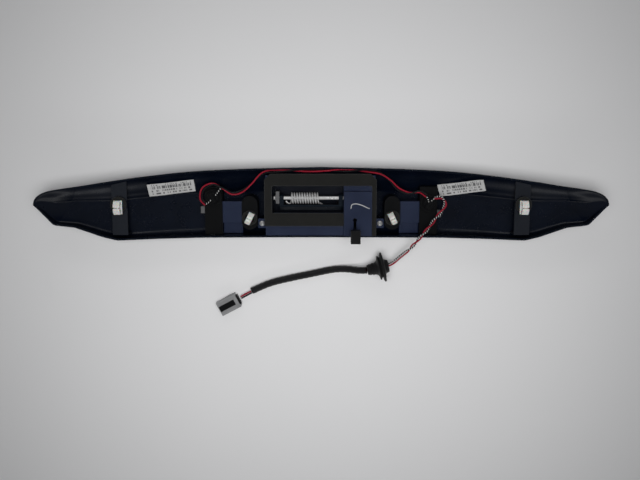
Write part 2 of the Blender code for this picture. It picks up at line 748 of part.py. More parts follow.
def retaining_clip(name, centre, base, width, length, height, tilt):
    """A moulded push-in clip: a square foot, a waist and a slotted arrow head."""
    half = length / 2
    waist = half * 0.62
    outline = [(-half, 0), (half, 0), (half, 0.002), (waist, 0.002), (waist, 0.006), (half, 0.008)]
    outline += [(half * 0.45, height), (-half * 0.45, height), (-half, 0.008)]
    outline += [(-waist, 0.006), (-waist, 0.002), (-half, 0.002)]
    clip = plate(name, [outline], -width / 2, width / 2, True)
    cut_box(clip, (-width, -half * 0.2, 0.004), (width, half * 0.2, height * 0.86))
    place = Matrix.Translation((centre[0], centre[1], base)) @ Matrix.Rotation(math.radians(tilt), 4, "Z")
    clip.data.transform(place)
    return finish(clip, WHITE_NYLON)


def end_bracket(name, side):
    """The strap that bridges the trough near each end, with a cup for the outer retaining clip."""
    x = side * END_X
    top = rim_z(END_X) - END_DROP
    low, high = x - END_WIDTH / 2, x + END_WIDTH / 2
    bottom_y = section(END_X)[-1][0] + WALL + 0.006
    strap = box(name, (low, bottom_y, top - END_THICK), (high, 0.08, top))
    join(strap, box("leg", (low, bottom_y, 0.01), (high, bottom_y + END_THICK, top)))
    cup = (x, END_CUP_Y, top - END_THICK / 2)
    join(strap, cylinder("cup", END_CUP_RADIUS, cup, (x, END_CUP_Y, top + END_CUP_HEIGHT), 32))
    keep_in_trough(strap)
    return finish(strap, PAINT)


# ---------------------------------------------------------------- lamps

def lamp_pocket(name, side):
    """The painted step beside each lamp that stiffens the shell."""
    outline = [(-0.08, 0.002), (POCKET_TOP_Y, 0.002), (POCKET_TOP_Y, POCKET_HEIGHT)]
    outline += [(POCKET_STEP_Y, POCKET_HEIGHT), (POCKET_STEP_Y, POCKET_LOW_HEIGHT)]
    outline.append((-0.08, POCKET_LOW_HEIGHT))
    inner = INNER_CLIP_X + PAD_WIDTH / 2
    ends = sorted((side * max(POCKET_LEFT, inner + GAP), side * (LAMP_X - LAMP_HALF - GAP)))
    pocket = plate(name, [outline], ends[0], ends[1], True)
    keep_in_trough(pocket)
    thick = HOUSING_WALL
    low = (ends[0] + thick, -0.048, -0.01)
    cut_box(pocket, low, (ends[1] - thick, POCKET_TOP_Y - thick, POCKET_LOW_HEIGHT - thick))
    upper = (ends[1] - thick, POCKET_TOP_Y - thick, POCKET_HEIGHT - thick)
    cut_box(pocket, (ends[0] + thick, POCKET_STEP_Y + thick, 0.01), upper)
    return finish(pocket, PAINT)


def lens_base():
    """The outer face's height under the lamps, which their lens windows start from."""
    return floor_z(LAMP_X, -0.03) - WALL


def socket_centre(side):
    return (side * LAMP_X, SOCKET_Y[side], LAMP_HEIGHT)


def lamp_housing(name, side):
    x = side * LAMP_X
    body = box(name, (x - LAMP_HALF, -0.08, 0.002), (x + LAMP_HALF, LAMP_TOP_Y, LAMP_HEIGHT))
    keep_in_trough(body)
    half = LAMP_HALF - LAMP_WALL
    roof = LAMP_HEIGHT - LAMP_WALL
    hollow = [(LAMP_STEPS[0], roof)]
    for before, y in zip(LAMP_STEPS, LAMP_STEPS[1:]):
        low = max(floor_z(LAMP_X, y), floor_z(LAMP_X, -0.03)) + LAMP_WALL + SEAT_GAP
        hollow += [(before, low), (y, low)]
    hollow.append((LAMP_STEPS[-1], roof))
    cut(body, hide_cutter(plate("hollow", [hollow], x - half, x + half, True, cutters)))
    window = (x + LENS_WIDTH / 2 - 0.001, -0.04, lens_base() + LENS_HIGH - 0.001)
    cut_box(body, (x - LENS_WIDTH / 2 + 0.001, -0.08, lens_base() + LENS_LOW + 0.001), window)
    mouth = socket_centre(side)
    ends = ((*mouth[:2], LAMP_HEIGHT - 0.01), (*mouth[:2], LAMP_HEIGHT + 0.01))
    cut_cylinder(body, SOCKET_NECK + SEAT_GAP, *ends)
    return finish(body, DARK_PLASTIC)


def lamp_lens(name, side):
    x = side * LAMP_X
    fit = 0.0004
    front = -edge_y(LAMP_X, BOTTOM_EDGE, BOTTOM_REACH)
    low = (x - LENS_WIDTH / 2 + fit, front - 0.001, lens_base() + LENS_LOW + fit)
    high = (x + LENS_WIDTH / 2 - fit, front + WALL + SEAT_GAP - GAP, lens_base() + LENS_HIGH - fit)
    return finish(box(name, low, high), CLEAR)


def bulb_socket(name, side):
    """A twist-in socket: neck, flange, cap and a finger bar across the cap."""
    profile = [(0, 0.0095), (0.0095, 0.0095), (0.0110, 0.0082), (0.0110, 0.0042), (SOCKET_RADIUS, 0.0042)]
    profile += [(SOCKET_RADIUS, 0.0018), (SOCKET_NECK, 0.0018), (SOCKET_NECK, -SOCKET_SINK)]
    profile.append((0, -SOCKET_SINK))
    socket = as_mesh(turned(name, profile, socket_centre(side), sides=28))
    x, y, z = socket_centre(side)
    join(socket, box("bar", (x - 0.002, y - 0.0095, z + 0.009), (x + 0.002, y + 0.0095, z + 0.012)))
    return finish(socket, DARK_PLASTIC)


def lamp_bulb(name, side):
    x, y, z = socket_centre(side)
    top = z - SOCKET_SINK - GAP
    profile = [(0, 0), (0.0045, 0), (0.0045, -0.008), (0.0032, -0.0112), (0, -0.0125)]
    return finish(turned(name, profile, (x, y, top), sides=16), CLEAR)


def wire_clip(name, side):
    """A grey clip on the lamp's outer wall that holds the wires."""
    x = side * (LAMP_X + LAMP_HALF + GAP)
    far = x + side * 0.007
    y = -0.012 if side < 0 else -0.019
    low, high = sorted((x, far))
    top = LAMP_HEIGHT - 0.002
    clip = box(name, (low, y - 0.006, top - 0.014), (high, y + 0.006, top))
    cut_box(clip, (low + 0.0015, y - 0.01, top - 0.010), (high - 0.0015, y + 0.01, top - 0.0015))
    return finish(clip, GREY_PLASTIC)


# ---------------------------------------------------------------- labels

def label(name, side):
    """A paper label that leans on the trough's upper slope."""
    x = side * (LAMP_X + END_X - 0.012) / 2 + LABEL_SHIFT[side]
    y = LABEL_Y
    step = 0.008
    along = Vector((2 * step, 0, floor_z(x + step, y) - floor_z(x - step, y))).normalized()
    across = Vector((0, 2 * step, floor_z(x, y + step) - floor_z(x, y - step))).normalized()
    normal = along.cross(across).normalized()
    across = normal.cross(along).normalized()
    tilt = Matrix.Rotation(math.radians(LABEL_TILT[side]), 4, normal)
    frame = Matrix((along, across, normal)).transposed().to_4x4()
    data = box(name, (-LABEL_LONG / 2, -LABEL_WIDE / 2, 0), (LABEL_LONG / 2, LABEL_WIDE / 2, LABEL_THICK))
    lift = Vector((x, y, floor_z(x, y))) + normal * LABEL_LIFT
    data.data.transform(Matrix.Translation(lift) @ tilt @ frame)
    return finish(data, PAPER)


# ---------------------------------------------------------------- harness

LINK_ROUTE = (
    (0.1795, 0.0125, 0.0470),
    (0.1680, 0.0190, 0.0400),
    (0.1500, 0.0170, 0.0400),
    (0.1320, 0.0240, 0.0400),
    (0.1160, 0.0400, 0.0430),
    (0.0980, 0.0520, 0.0460),
    (0.0700, 0.0556, 0.0440),
    (0.0300, 0.0558, 0.0430),
    (-0.0200, 0.0558, 0.0430),
    (-0.0700, 0.0552, 0.0440),
    (-0.0980, 0.0515, 0.0450),
    (-0.1180, 0.0330, 0.0430),
    (-0.1350, 0.0200, 0.0400),
    (-0.1520, 0.0165, 0.0400),
    (-0.1680, 0.0260, 0.0430),
    (-0.1840, 0.0330, 0.0460),
    (-0.2000, 0.0250, 0.0460),
    (-0.2040, 0.0080, 0.0440),
    (-0.1960, -0.0020, 0.0470),
)
FEED_ROUTE = (
    (0.1920, 0.0090, 0.0480),
    (0.2040, 0.0100, 0.0480),
    (0.2110, 0.0000, 0.0470),
    (0.2060, -0.0120, 0.0480),
    (0.1960, -0.0240, 0.0490),
    (0.1850, -0.0390, 0.0510),
    (0.1680, -0.0590, 0.0520),
    (0.1530, -0.0790, 0.0420),
    (0.1370, -0.0950, 0.0320),
    (0.1260, -0.1060, 0.0265),
    (0.1140, -0.1117, 0.0250),
    (0.0815, -0.1186, 0.0250),
)
SLEEVE_ROUTE = (
    (0.0798, -0.1191, 0.0263),
    (0.0660, -0.1200, 0.0215),
    (0.0500, -0.1197, 0.0130),
    (0.0330, -0.1202, 0.0079),
    (0.0160, -0.1222, 0.0068),
    (-0.0190, -0.1295, 0.0068),
    (-0.0550, -0.1370, 0.0068),
    (-0.0900, -0.1460, 0.0068),
    (-0.1230, -0.1600, 0.0070),
)
PLUG_WIRE_ROUTE = (
    (-0.1243, -0.1604, 0.0080),
    (-0.1330, -0.1650, 0.0080),
    (-0.1430, -0.1705, 0.0080),
)


def beside(route, offset):
    """The route moved sideways, so that a second wire runs next to the first."""
    return [(x + offset[0], y + offset[1], z + offset[2]) for x, y, z in route]


def wire(name, route, look, spacing=0.0062):
    return finish(tube(name, smooth_route(route, spacing), WIRE_RADIUS), look)


def harness_sleeve():
    return finish(tube("harness_sleeve", smooth_route(SLEEVE_ROUTE, 0.010), SLEEVE_RADIUS, 3), RUBBER)


def grommet():
    """A rubber grommet: a collar, a wide flange, a groove, a smaller flange and a long cone."""
    wide = GROMMET_RADIUS
    bore = GROMMET_BORE
    profile = [(bore, 0.0275), (0.0085, 0.0275), (0.0125, 0.0100), (0.0215, 0.0078), (0.0215, 0.0058)]
    profile += [(0.0180, 0.0046), (0.0180, 0.0024), (wide, 0.0018), (wide, -0.0018), (0.0125, -0.0036)]
    profile += [(0.0105, -0.0100), (bore, -0.0100), (bore, 0.0275)]
    return finish(turned("grommet", profile, GROMMET_CENTRE, GROMMET_AXIS), RUBBER)


def plug_place():
    turn = Matrix.Rotation(math.radians(CONNECTOR_TURN), 4, "Z")
    return Matrix.Translation((*CONNECTOR_CENTRE, 0.0005)) @ turn


def terminal_rows():
    return (-CONNECTOR_PITCH / 2, CONNECTOR_PITCH / 2)


def connector_housing():
    """A flat connector body with a mouth at its front that the terminal block fills."""
    half, wide, thick = CONNECTOR_LONG / 2, CONNECTOR_WIDE / 2, CONNECTOR_THICK
    body = box("connector_housing", (-half, -wide, 0), (half, wide, thick))
    cut_box(body, (half - 0.012, -wide + 0.003, 0.003), (half + 0.01, wide - 0.003, thick - 0.003))
    for y in terminal_rows():
        cut_cylinder(body, 0.0019, (-half - 0.01, y, thick / 2), (-half + 0.012, y, thick / 2), 12)
    body.data.transform(plug_place())
    return finish(body, GREY_PLASTIC)


def connector_insert():
    """The dark terminal block in the connector's mouth."""
    half, wide, thick = CONNECTOR_LONG / 2, CONNECTOR_WIDE / 2, CONNECTOR_THICK
    low = (half - 0.012 + GAP, -wide + 0.003 + GAP, 0.003 + GAP)
    block = box("connector_insert", low, (half - 0.0015, wide - 0.003 - GAP, thick - 0.003 - GAP))
    for y in terminal_rows():
        slot_low = (half - 0.006, y - 0.0012, thick / 2 - 0.0016)
        cut_box(block, slot_low, (half + 0.01, y + 0.0012, thick / 2 + 0.0016))
    block.data.transform(plug_place())
    return finish(block, DARK_PLASTIC)


def connector_latch():
    """The sprung tongue on the connector's upper face."""
    half, base = CONNECTOR_LONG / 2, CONNECTOR_THICK + GAP
    outline = [(-half + 0.006, base), (half - 0.002, base), (half - 0.002, base + 0.0042)]
    outline += [(half - 0.007, base + 0.0024), (-half + 0.006, base + 0.0024)]
    tongue = plate("connector_latch", [outline], -0.005, 0.005, True)
    tongue.data.transform(Matrix.Rotation(math.radians(-90), 4, "Z"))
    tongue.data.transform(plug_place())
    return finish(tongue, DARK_PLASTIC)


def connector_seal():
    """The rubber mat that closes the wire side of the connector."""
    half, wide, thick = CONNECTOR_LONG / 2, CONNECTOR_WIDE / 2, CONNECTOR_THICK
    low = (-half - 0.003, -wide + 0.004, 0.003)
    seal = box("connector_seal", low, (-half - GAP, wide - 0.004, thick - 0.003))
    for y in terminal_rows():
        ends = ((-half - 0.01, y, thick / 2), (-half + 0.01, y, thick / 2))
        cut_cylinder(seal, WIRE_RADIUS + GAP, *ends, 12)
    seal.data.transform(plug_place())
    return finish(seal, RUBBER)


# ---------------------------------------------------------------- assembly

garnish_panel()
handle_housing()
housing_gasket()
pivot_bracket()
handle_paddle()
handle_shaft()
shaft_clip("shaft_clip_left", BRACKET_LEFT - GAP - CLIP_THICK)
return_spring()
lever_arm()
lever_cap()
shaft_clip("shaft_clip_right", SLOT_X + LEVER_THICK / 2 + 0.005 + GAP)
wire_hook()
paddle_stop("paddle_stop_left", PADDLE_LEFT + KNUCKLE_WIDTH)
paddle_stop("paddle_stop_right", PADDLE_RIGHT - KNUCKLE_WIDTH)

for label_side, sign in (("left", -1), ("right", 1)):
    housing_screw("housing_screw_" + label_side, sign)
    clip_tower("clip_tower_" + label_side, sign)
    tower_top = RIM_HEIGHT - 0.002 + GAP
    inner_place = (sign * INNER_CLIP_X, INNER_CLIP_Y)
    clip_seal("inner_seal_" + label_side, inner_place, SEAL_RADIUS, 0.0085, tower_top, SEAL_THICK)
    clip_base = tower_top + SEAL_THICK + GAP
    inner_size = (0.010, 0.020, 0.015)
    retaining_clip("inner_clip_" + label_side, inner_place, clip_base, *inner_size, sign * INNER_CLIP_TILT)
    end_bracket("end_bracket_" + label_side, sign)
    cup_top = rim_z(END_X) - END_DROP + END_CUP_HEIGHT + GAP
    end_place = (sign * END_X, END_CUP_Y)
    clip_seal("end_seal_" + label_side, end_place, END_CUP_RADIUS, 0.009, cup_top, 0.003)
    end_clip_place = (sign * END_X, END_CLIP_Y)
    end_size = (0.014, 0.023, 0.014)
    retaining_clip("end_clip_" + label_side, end_clip_place, cup_top + 0.003 + GAP, *end_size, 0)
    lamp_pocket("lamp_pocket_" + label_side, sign)
    lamp_housing("lamp_housing_" + label_side, sign)
    lamp_lens("lamp_lens_" + label_side, sign)
    bulb_socket("bulb_socket_" + label_side, sign)
    lamp_bulb("lamp_bulb_" + label_side, sign)
    wire_clip("wire_clip_" + label_side, sign)
    label("paper_label_" + label_side, sign)

wire("link_wire_red", LINK_ROUTE, RED_WIRE)
wire("link_wire_black", beside(LINK_ROUTE, (0.0, -0.0008, 0.0036)), BLACK_WIRE)
wire("feed_wire_red", FEED_ROUTE, RED_WIRE)
wire("feed_wire_black", beside(FEED_ROUTE, (0.0, -0.0008, 0.0036)), BLACK_WIRE)
grommet()
harness_sleeve()
wire("plug_wire_red", PLUG_WIRE_ROUTE, RED_WIRE, 0.004)
wire("plug_wire_black", beside(PLUG_WIRE_ROUTE, (0.0015, -0.0030, 0.0)), BLACK_WIRE, 0.004)
connector_housing()
connector_insert()
connector_seal()
connector_latch()
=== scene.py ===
import math

import bmesh
import bpy
import numpy as np
from mathutils import Matrix, Vector, noise


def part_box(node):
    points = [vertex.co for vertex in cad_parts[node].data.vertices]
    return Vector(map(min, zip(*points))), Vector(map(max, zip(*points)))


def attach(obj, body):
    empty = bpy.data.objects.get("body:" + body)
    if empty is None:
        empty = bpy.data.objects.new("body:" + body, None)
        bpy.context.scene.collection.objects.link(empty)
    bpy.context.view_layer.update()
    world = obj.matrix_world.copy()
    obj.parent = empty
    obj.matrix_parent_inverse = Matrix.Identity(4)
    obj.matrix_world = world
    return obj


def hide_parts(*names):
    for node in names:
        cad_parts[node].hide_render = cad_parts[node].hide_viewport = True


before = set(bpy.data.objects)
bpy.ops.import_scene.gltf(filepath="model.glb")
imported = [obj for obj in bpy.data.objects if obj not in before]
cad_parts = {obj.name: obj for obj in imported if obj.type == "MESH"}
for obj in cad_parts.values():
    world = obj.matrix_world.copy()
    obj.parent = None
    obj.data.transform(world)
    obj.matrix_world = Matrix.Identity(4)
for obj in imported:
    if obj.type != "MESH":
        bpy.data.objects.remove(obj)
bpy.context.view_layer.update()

WELD = 0.00002


# ---------------------------------------------------------------- camera, floor and light

CAMERA_TILT = math.radians(-9)
CAMERA_PLACE = (-0.0017, 0.1517, 1.3976)
FOCAL_LENGTH = 45
SENSOR_WIDTH = 36
FLOOR_HALF = 4.0
FLOOR_DROP = 0.0002
SKY_COLOUR = (0.96, 0.98, 1.0, 1)
SKY_STRENGTH = 0.11


def camera():
    """Looks down at the piece from a little above its upper edge."""
    lens = bpy.data.cameras.new("camera")
    lens.lens = FOCAL_LENGTH
    lens.sensor_width = SENSOR_WIDTH
    lens.clip_start = 0.05
    lens.clip_end = 50
    made = bpy.data.objects.new("camera", lens)
    made.location = CAMERA_PLACE
    made.rotation_euler = (CAMERA_TILT, 0, 0)
    bpy.context.scene.collection.objects.link(made)
    bpy.context.scene.camera = made


def soft_light(name, place, aim, size, power, spread, shine=True):
    """A large lamp that faces a point, its beam narrowed to spread degrees; shine lets gloss show it."""
    lamp = bpy.data.lights.new(name, "AREA")
    lamp.shape = "RECTANGLE"
    lamp.size, lamp.size_y = size
    lamp.energy = power
    lamp.spread = math.radians(spread)
    made = bpy.data.objects.new(name, lamp)
    made.location = place
    made.rotation_euler = (Vector(aim) - Vector(place)).to_track_quat("-Z", "Y").to_euler()
    made.visible_glossy = shine
    bpy.context.scene.collection.objects.link(made)


def room():
    """A dim grey surround, one broad lamp overhead and a weak one on each long side."""
    world = bpy.data.worlds.new("room")
    world.use_nodes = True
    sky = world.node_tree.nodes["Background"]
    sky.inputs["Color"].default_value = SKY_COLOUR
    sky.inputs["Strength"].default_value = SKY_STRENGTH
    bpy.context.scene.world = world
    bpy.context.scene.view_settings.view_transform = "Standard"
    soft_light("overhead", (0.0, -0.03, 1.5), (0, -0.09, 0), size=(0.9, 0.7), power=3.65, spread=78,
               shine=False)
    soft_light("far_side", (-0.2, 1.15, 1.1), (0, 0.03, 0), size=(1.3, 0.35), power=0.7, spread=120)
    soft_light("near_side", (0.1, -1.15, 0.7), (0, -0.05, 0), size=(1.6, 0.25), power=0.6, spread=120)


# ---------------------------------------------------------------- harness routes

WIRE_RADIUS = 0.0014
SLEEVE_RADIUS = 0.0063
TAPE_PITCH = 0.0095
TAPE_STEP = 0.0005
PAIR_OFFSET = Vector((0, -0.0008, 0.0036))
LINK_ROUTE = (
    (0.1795, 0.0125, 0.0470), (0.1680, 0.0190, 0.0400), (0.1500, 0.0170, 0.0400),
    (0.1320, 0.0240, 0.0400), (0.1160, 0.0400, 0.0430), (0.0980, 0.0520, 0.0460),
    (0.0700, 0.0556, 0.0440), (0.0300, 0.0558, 0.0430), (-0.0200, 0.0558, 0.0430),
    (-0.0700, 0.0552, 0.0440), (-0.0980, 0.0515, 0.0450), (-0.1180, 0.0330, 0.0430),
    (-0.1350, 0.0200, 0.0400), (-0.1520, 0.0165, 0.0400), (-0.1680, 0.0260, 0.0430),
    (-0.1840, 0.0330, 0.0460), (-0.2000, 0.0250, 0.0460), (-0.2040, 0.0080, 0.0440),
    (-0.1960, -0.0020, 0.0470),
)
FEED_ROUTE = (
    (0.1920, 0.0090, 0.0480), (0.2040, 0.0100, 0.0480), (0.2110, 0.0000, 0.0470),
    (0.2060, -0.0120, 0.0480), (0.1960, -0.0240, 0.0490), (0.1850, -0.0390, 0.0510),
    (0.1680, -0.0590, 0.0520), (0.1530, -0.0790, 0.0420), (0.1370, -0.0950, 0.0320),
    (0.1260, -0.1060, 0.0265), (0.1140, -0.1117, 0.0250), (0.0815, -0.1186, 0.0250),
)
SLEEVE_ROUTE = (
    (0.0798, -0.1191, 0.0263), (0.0660, -0.1200, 0.0215), (0.0500, -0.1197, 0.0130),
    (0.0330, -0.1202, 0.0079), (0.0160, -0.1222, 0.0068), (-0.0190, -0.1295, 0.0068),
    (-0.0550, -0.1370, 0.0068), (-0.0900, -0.1460, 0.0068), (-0.1230, -0.1600, 0.0070),
)
PLUG_WIRE_ROUTE = ((-0.1243, -0.1604, 0.0080), (-0.1330, -0.1650, 0.0080), (-0.1430, -0.1705, 0.0080))
PLUG_PAIR_OFFSET = Vector((0.0015, -0.0030, 0))
STEP = 0.0015
FINE_STEP = 0.05
# How far round the pair has wound at places along X, in whole turns
LINK_TURNS = ((-0.204, -0.75), (-0.115, 0), (0.015, 1), (0.110, 2), (0.180, 2.75))
FEED_TURNS = 6.0
FEED_WOUND_SHARE = 0.62


def smooth_line(points, spacing=STEP):
    """Evenly spaced points on a smooth curve through a route's own points."""
    route = [Vector(p) for p in points]
    ends = [2 * route[0] - route[1]] + route + [2 * route[-1] - route[-2]]
    fine = []
    for before, start, end, after in zip(ends, ends[1:], ends[2:], ends[3:]):
        for t in np.arange(0, 1, FINE_STEP):
            bend = (2 * before - 5 * start + 4 * end - after) * t ** 2
            twist = (3 * start - before - 3 * end + after) * t ** 3
            fine.append(start + ((end - before) * t + bend + twist) / 2)
    fine.append(route[-1])
    run = np.concatenate([[0], np.cumsum([(b - a).length for a, b in zip(fine, fine[1:])])])
    wanted = np.linspace(0, run[-1], max(3, round(run[-1] / spacing) + 1))
    return [Vector([np.interp(s, run, [p[i] for p in fine]) for i in range(3)]) for s in wanted]


def twisted_pair(route, offset, turns):
    """Two lines that wind round each other: turns gives how far round the pair is at each point."""
    middle = [p + offset / 2 for p in smooth_line(route)]
    pair = ([], [])
    for index, point in enumerate(middle):
        ahead = middle[min(index + 1, len(middle) - 1)] - middle[max(index - 1, 0)]
        up = Vector((0, 0, 1)) - ahead.normalized() * ahead.normalized().z
        arm = up.normalized() * offset.length / 2
        arm.rotate(Matrix.Rotation(2 * math.pi * turns(index / (len(middle) - 1), point), 3, ahead))
        pair[0].append(point + arm)
        pair[1].append(point - arm)
    return pair


# ---------------------------------------------------------------- finishes

class Wiring:
    """A node tree, and how nodes are added to it and fed."""

    def __init__(self, tree):
        self.tree = tree

    def node(self, kind, settings=None, **given):
        """A new node with its settings made and its inputs, written with _ for a space, fed."""
        made = self.tree.nodes.new(kind)
        for key, value in (settings or {}).items():
            setattr(made, key, value)
        for socket, value in given.items():
            self.feed(made.inputs[socket.replace("_", " ")], value)
        return made

    def feed(self, socket, value):
        """Links an output to an input, or sets the input to a plain value."""
        if isinstance(value, bpy.types.NodeSocket):
            self.tree.links.new(value, socket)
        else:
            socket.default_value = value

    def calc(self, operation, *values):
        """One step of arithmetic."""
        made = self.node("ShaderNodeMath", {"operation": operation})
        for socket, value in zip(made.inputs, values):
            self.feed(socket, value)
        return made.outputs[0]


class Finish(Wiring):
    """A material and the nodes that feed its shader."""

    def __init__(self, name, **plain):
        self.material = bpy.data.materials.new(name)
        self.material.use_nodes = True
        super().__init__(self.material.node_tree)
        self.shader = self.tree.nodes["Principled BSDF"]
        for socket, value in plain.items():
            self.shader.inputs[socket.replace("_", " ")].default_value = value
        self.place = self.node("ShaderNodeTexCoord").outputs["Object"]
        self.relief = None

    def stretched(self, amounts, source=None):
        """The surface's own place, stretched by different amounts along each direction."""
        return self.node("ShaderNodeMapping", Vector=source or self.place, Scale=amounts).outputs[0]

    def mottle(self, scale, detail=3.0, roughness=0.55, place=None):
        """Soft, cloudy unevenness."""
        made = self.node("ShaderNodeTexNoise", Vector=place or self.place, Scale=scale, Detail=detail,
                         Roughness=roughness)
        return made.outputs["Fac"]

    def cells(self, scale, output="Distance"):
        """Small cells, such as pores or flakes."""
        return self.node("ShaderNodeTexVoronoi", Vector=self.place, Scale=scale).outputs[output]

    def laid(self):
        """The piece's own UV map: metres along it, and share of the way round or across."""
        return self.node("ShaderNodeUVMap", {"uv_map": "UVMap"}).outputs[0]

    def colour_so_far(self):
        """The output that feeds the shader's colour at this point."""
        return self.shader.inputs["Base Color"].links[0].from_socket

    def between(self, value, low, high, to_low=0.0, to_high=1.0):
        """A value's place between low and high, carried over to another range and held inside it."""
        made = self.node("ShaderNodeMapRange", Value=value, From_Min=low, From_Max=high,
                         To_Min=to_low, To_Max=to_high)
        return made.outputs[0]

    def blend(self, share, first, second):
        """The first colour, with a share of the second."""
        made = self.node("ShaderNodeMix", {"data_type": "RGBA"})
        self.feed(made.inputs[0], share)
        for socket, colour in ((made.inputs[6], first), (made.inputs[7], second)):
            self.feed(socket, colour if isinstance(colour, bpy.types.NodeSocket) else (*colour, 1))
        return made.outputs[2]

    def coloured(self, colour):
        """Sets the shader's colour."""
        self.feed(self.shader.inputs["Base Color"], colour)

    def gloss(self, value):
        """Sets the shader's roughness."""
        self.feed(self.shader.inputs["Roughness"], value)

    def raised(self, height, strength, distance):
        """Adds fine relief on top of any that is there, its distance in metres."""
        given = {"Normal": self.relief} if self.relief else {}
        made = self.node("ShaderNodeBump", Height=height, Strength=strength, Distance=distance, **given)
        self.relief = made.outputs[0]
        self.feed(self.shader.inputs["Normal"], self.relief)


DUST = (0.30, 0.30, 0.29)


def moulded(name, deep, pale, roughness, grain, relief, dust, **plain):
    """A moulded or painted surface: broad shade changes, fine grain, handling marks and settled dust."""
    made = Finish(name, **plain)
    broad = made.mottle(22, 4)
    fine = made.mottle(grain, 2)
    specks = made.between(made.mottle(900, 3, 0.7), 0.66, 0.74)
    patches = made.between(made.mottle(14, 5, 0.65), 0.48, 0.72)
    shade = made.calc("ADD", made.calc("MULTIPLY", broad, 0.75), made.calc("MULTIPLY", fine, 0.25))
    colour = made.blend(made.between(shade, 0.3, 0.7), deep, pale)
    dusty = made.calc("MULTIPLY", made.calc("MULTIPLY", specks, patches), dust)
    made.coloured(made.blend(dusty, colour, DUST))
    rubbed = made.between(made.mottle(60, 5, 0.7), 0.35, 0.75, -0.05, 0.07)
    made.gloss(made.calc("ADD", made.calc("ADD", rubbed, dusty), roughness))
    made.raised(fine, relief, 0.0001)
    return made


def body_paint():
    """Dark blue metallic lacquer with fine flake, faint orange peel and light hairline marks."""
    made = moulded("body_paint", (0.0010, 0.0022, 0.0056), (0.0024, 0.0046, 0.0115),
                   roughness=0.30, grain=2400, relief=0.04, dust=0.06,
                   Coat_Weight=0.12, Coat_Roughness=0.10, Specular_IOR_Level=0.35)
    flake = made.between(made.cells(5200, output="Color"), 0.86, 1.0, 0.0, 0.25)
    made.coloured(made.blend(flake, made.colour_so_far(), (0.020, 0.030, 0.070)))
    made.raised(made.mottle(240, 1), 0.05, 0.0004)
    hair = made.between(made.mottle(1.0, 2, 0.5, made.stretched((60, 1900, 700))), 0.70, 0.78)
    made.raised(hair, 0.05, 0.0001)
    return made.material


# Near-black painted shade for the low parts of a moulding, and the height over which it fades in
RECESS_SHADE = (0.0022, 0.0024, 0.0032)
RECESS_SHADE_FADE = 0.006


def housing_paint(name, shade_below):
    """The same blue on the inner mouldings, thinner and more satin, set much lighter as a painted sheen of
    light on their flat faces; below the given height it turns near black, as painted shade in the recesses.
    """
    # Colours set far lighter than the body paint's: a painted sheen of light on the flat faces
    made = moulded(name, (0.0085, 0.0135, 0.0340), (0.0150, 0.0220, 0.0500),
                   roughness=0.36, grain=1900, relief=0.10, dust=0.12, Coat_Weight=0.2, Coat_Roughness=0.2)
    scuff = made.between(made.mottle(1.0, 3, 0.6, made.stretched((90, 700, 90))), 0.66, 0.80, 0.0, 0.4)
    painted = made.blend(scuff, made.colour_so_far(), (0.030, 0.034, 0.060))
    # Below the given height the colour fades to near black: painted shade in the recessed window
    height = made.node("ShaderNodeSeparateXYZ", Vector=made.place).outputs[2]
    shade_edge = made.calc("ADD", height, made.between(made.mottle(160, 3), 0, 1, -0.002, 0.002))
    recess_shade = made.between(shade_edge, shade_below, shade_below + RECESS_SHADE_FADE, 0.85, 0.0)
    made.coloured(made.blend(recess_shade, painted, RECESS_SHADE))
    made.raised(made.mottle(300, 1), 0.08, 0.0004)
    return made.material


def bracket_plastic():
    """Smoke-blue plastic of the end straps, set much lighter than the body blue as a painted sheen of light
    on their flat faces.
    """
    made = moulded("bracket_plastic", (0.0085, 0.0100, 0.0140), (0.0145, 0.0170, 0.0230),
                   roughness=0.38, grain=1700, relief=0.2, dust=0.15)
    flow = made.mottle(1.0, 2, 0.5, made.stretched((260, 30, 120)))
    made.raised(flow, 0.06, 0.0003)
    return made.material


def paddle_plastic():
    """Blue-black plastic of the plate that the fingers pull."""
    return moulded("paddle_plastic", (0.0022, 0.0050, 0.0090), (0.0045, 0.0090, 0.0150),
                   roughness=0.40, grain=1600, relief=0.2, dust=0.12).material


def dark_plastic():
    """Grained black plastic."""
    return moulded("dark_plastic", (0.0010, 0.0011, 0.0014), (0.0028, 0.0030, 0.0036),
                   roughness=0.46, grain=1500, relief=0.3, dust=0.12).material


def grey_plastic(name, deep, pale):
    """Grey plastic with faint flow marks."""
    made = moulded(name, deep, pale, roughness=0.45, grain=1400, relief=0.25, dust=0.35)
    flow = made.mottle(1.0, 2, 0.5, made.stretched((30, 260, 120)))
    made.raised(flow, 0.06, 0.0003)
    return made.material


def white_nylon():
    """Milky nylon that lets a little light in."""
    made = moulded("white_nylon", (0.62, 0.62, 0.59), (0.78, 0.78, 0.75),
                   roughness=0.38, grain=1200, relief=0.12, dust=0.5,
                   Subsurface_Weight=0.25, Subsurface_Scale=0.002)
    made.raised(made.mottle(420, 2), 0.10, 0.0003)
    return made.material


def sealing_foam():
    """Closed-cell foam: matt, open pores at the cut face painted darker at their middles as painted shade,
    and slightly uneven in tone.
    """
    made = Finish("sealing_foam", Sheen_Weight=0.15, Sheen_Roughness=0.6, Specular_IOR_Level=0.25)
    pores = made.cells(1100)
    skin = made.mottle(45, 4, 0.6)
    # Pores painted darker towards their middles: painted shade inside the pores
    deep = made.blend(made.between(pores, 0.05, 0.6), (0.0040, 0.0040, 0.0038), (0.0120, 0.0120, 0.0112))
    made.coloured(made.blend(made.between(skin, 0.4, 0.75, 0, 0.5), deep, (0.0170, 0.0168, 0.0155)))
    made.gloss(made.between(skin, 0.3, 0.7, 0.85, 0.98))
    made.raised(pores, 0.7, 0.0005)
    made.raised(made.mottle(130, 3), 0.35, 0.0010)
    return made.material


def black_rubber():
    """Moulded rubber with a dull bloom."""
    made = moulded("black_rubber", (0.0035, 0.0035, 0.0040), (0.0095, 0.0095, 0.0100),
                   roughness=0.60, grain=900, relief=0.35, dust=0.3)
    made.raised(made.mottle(170, 3), 0.2, 0.0004)
    return made.material


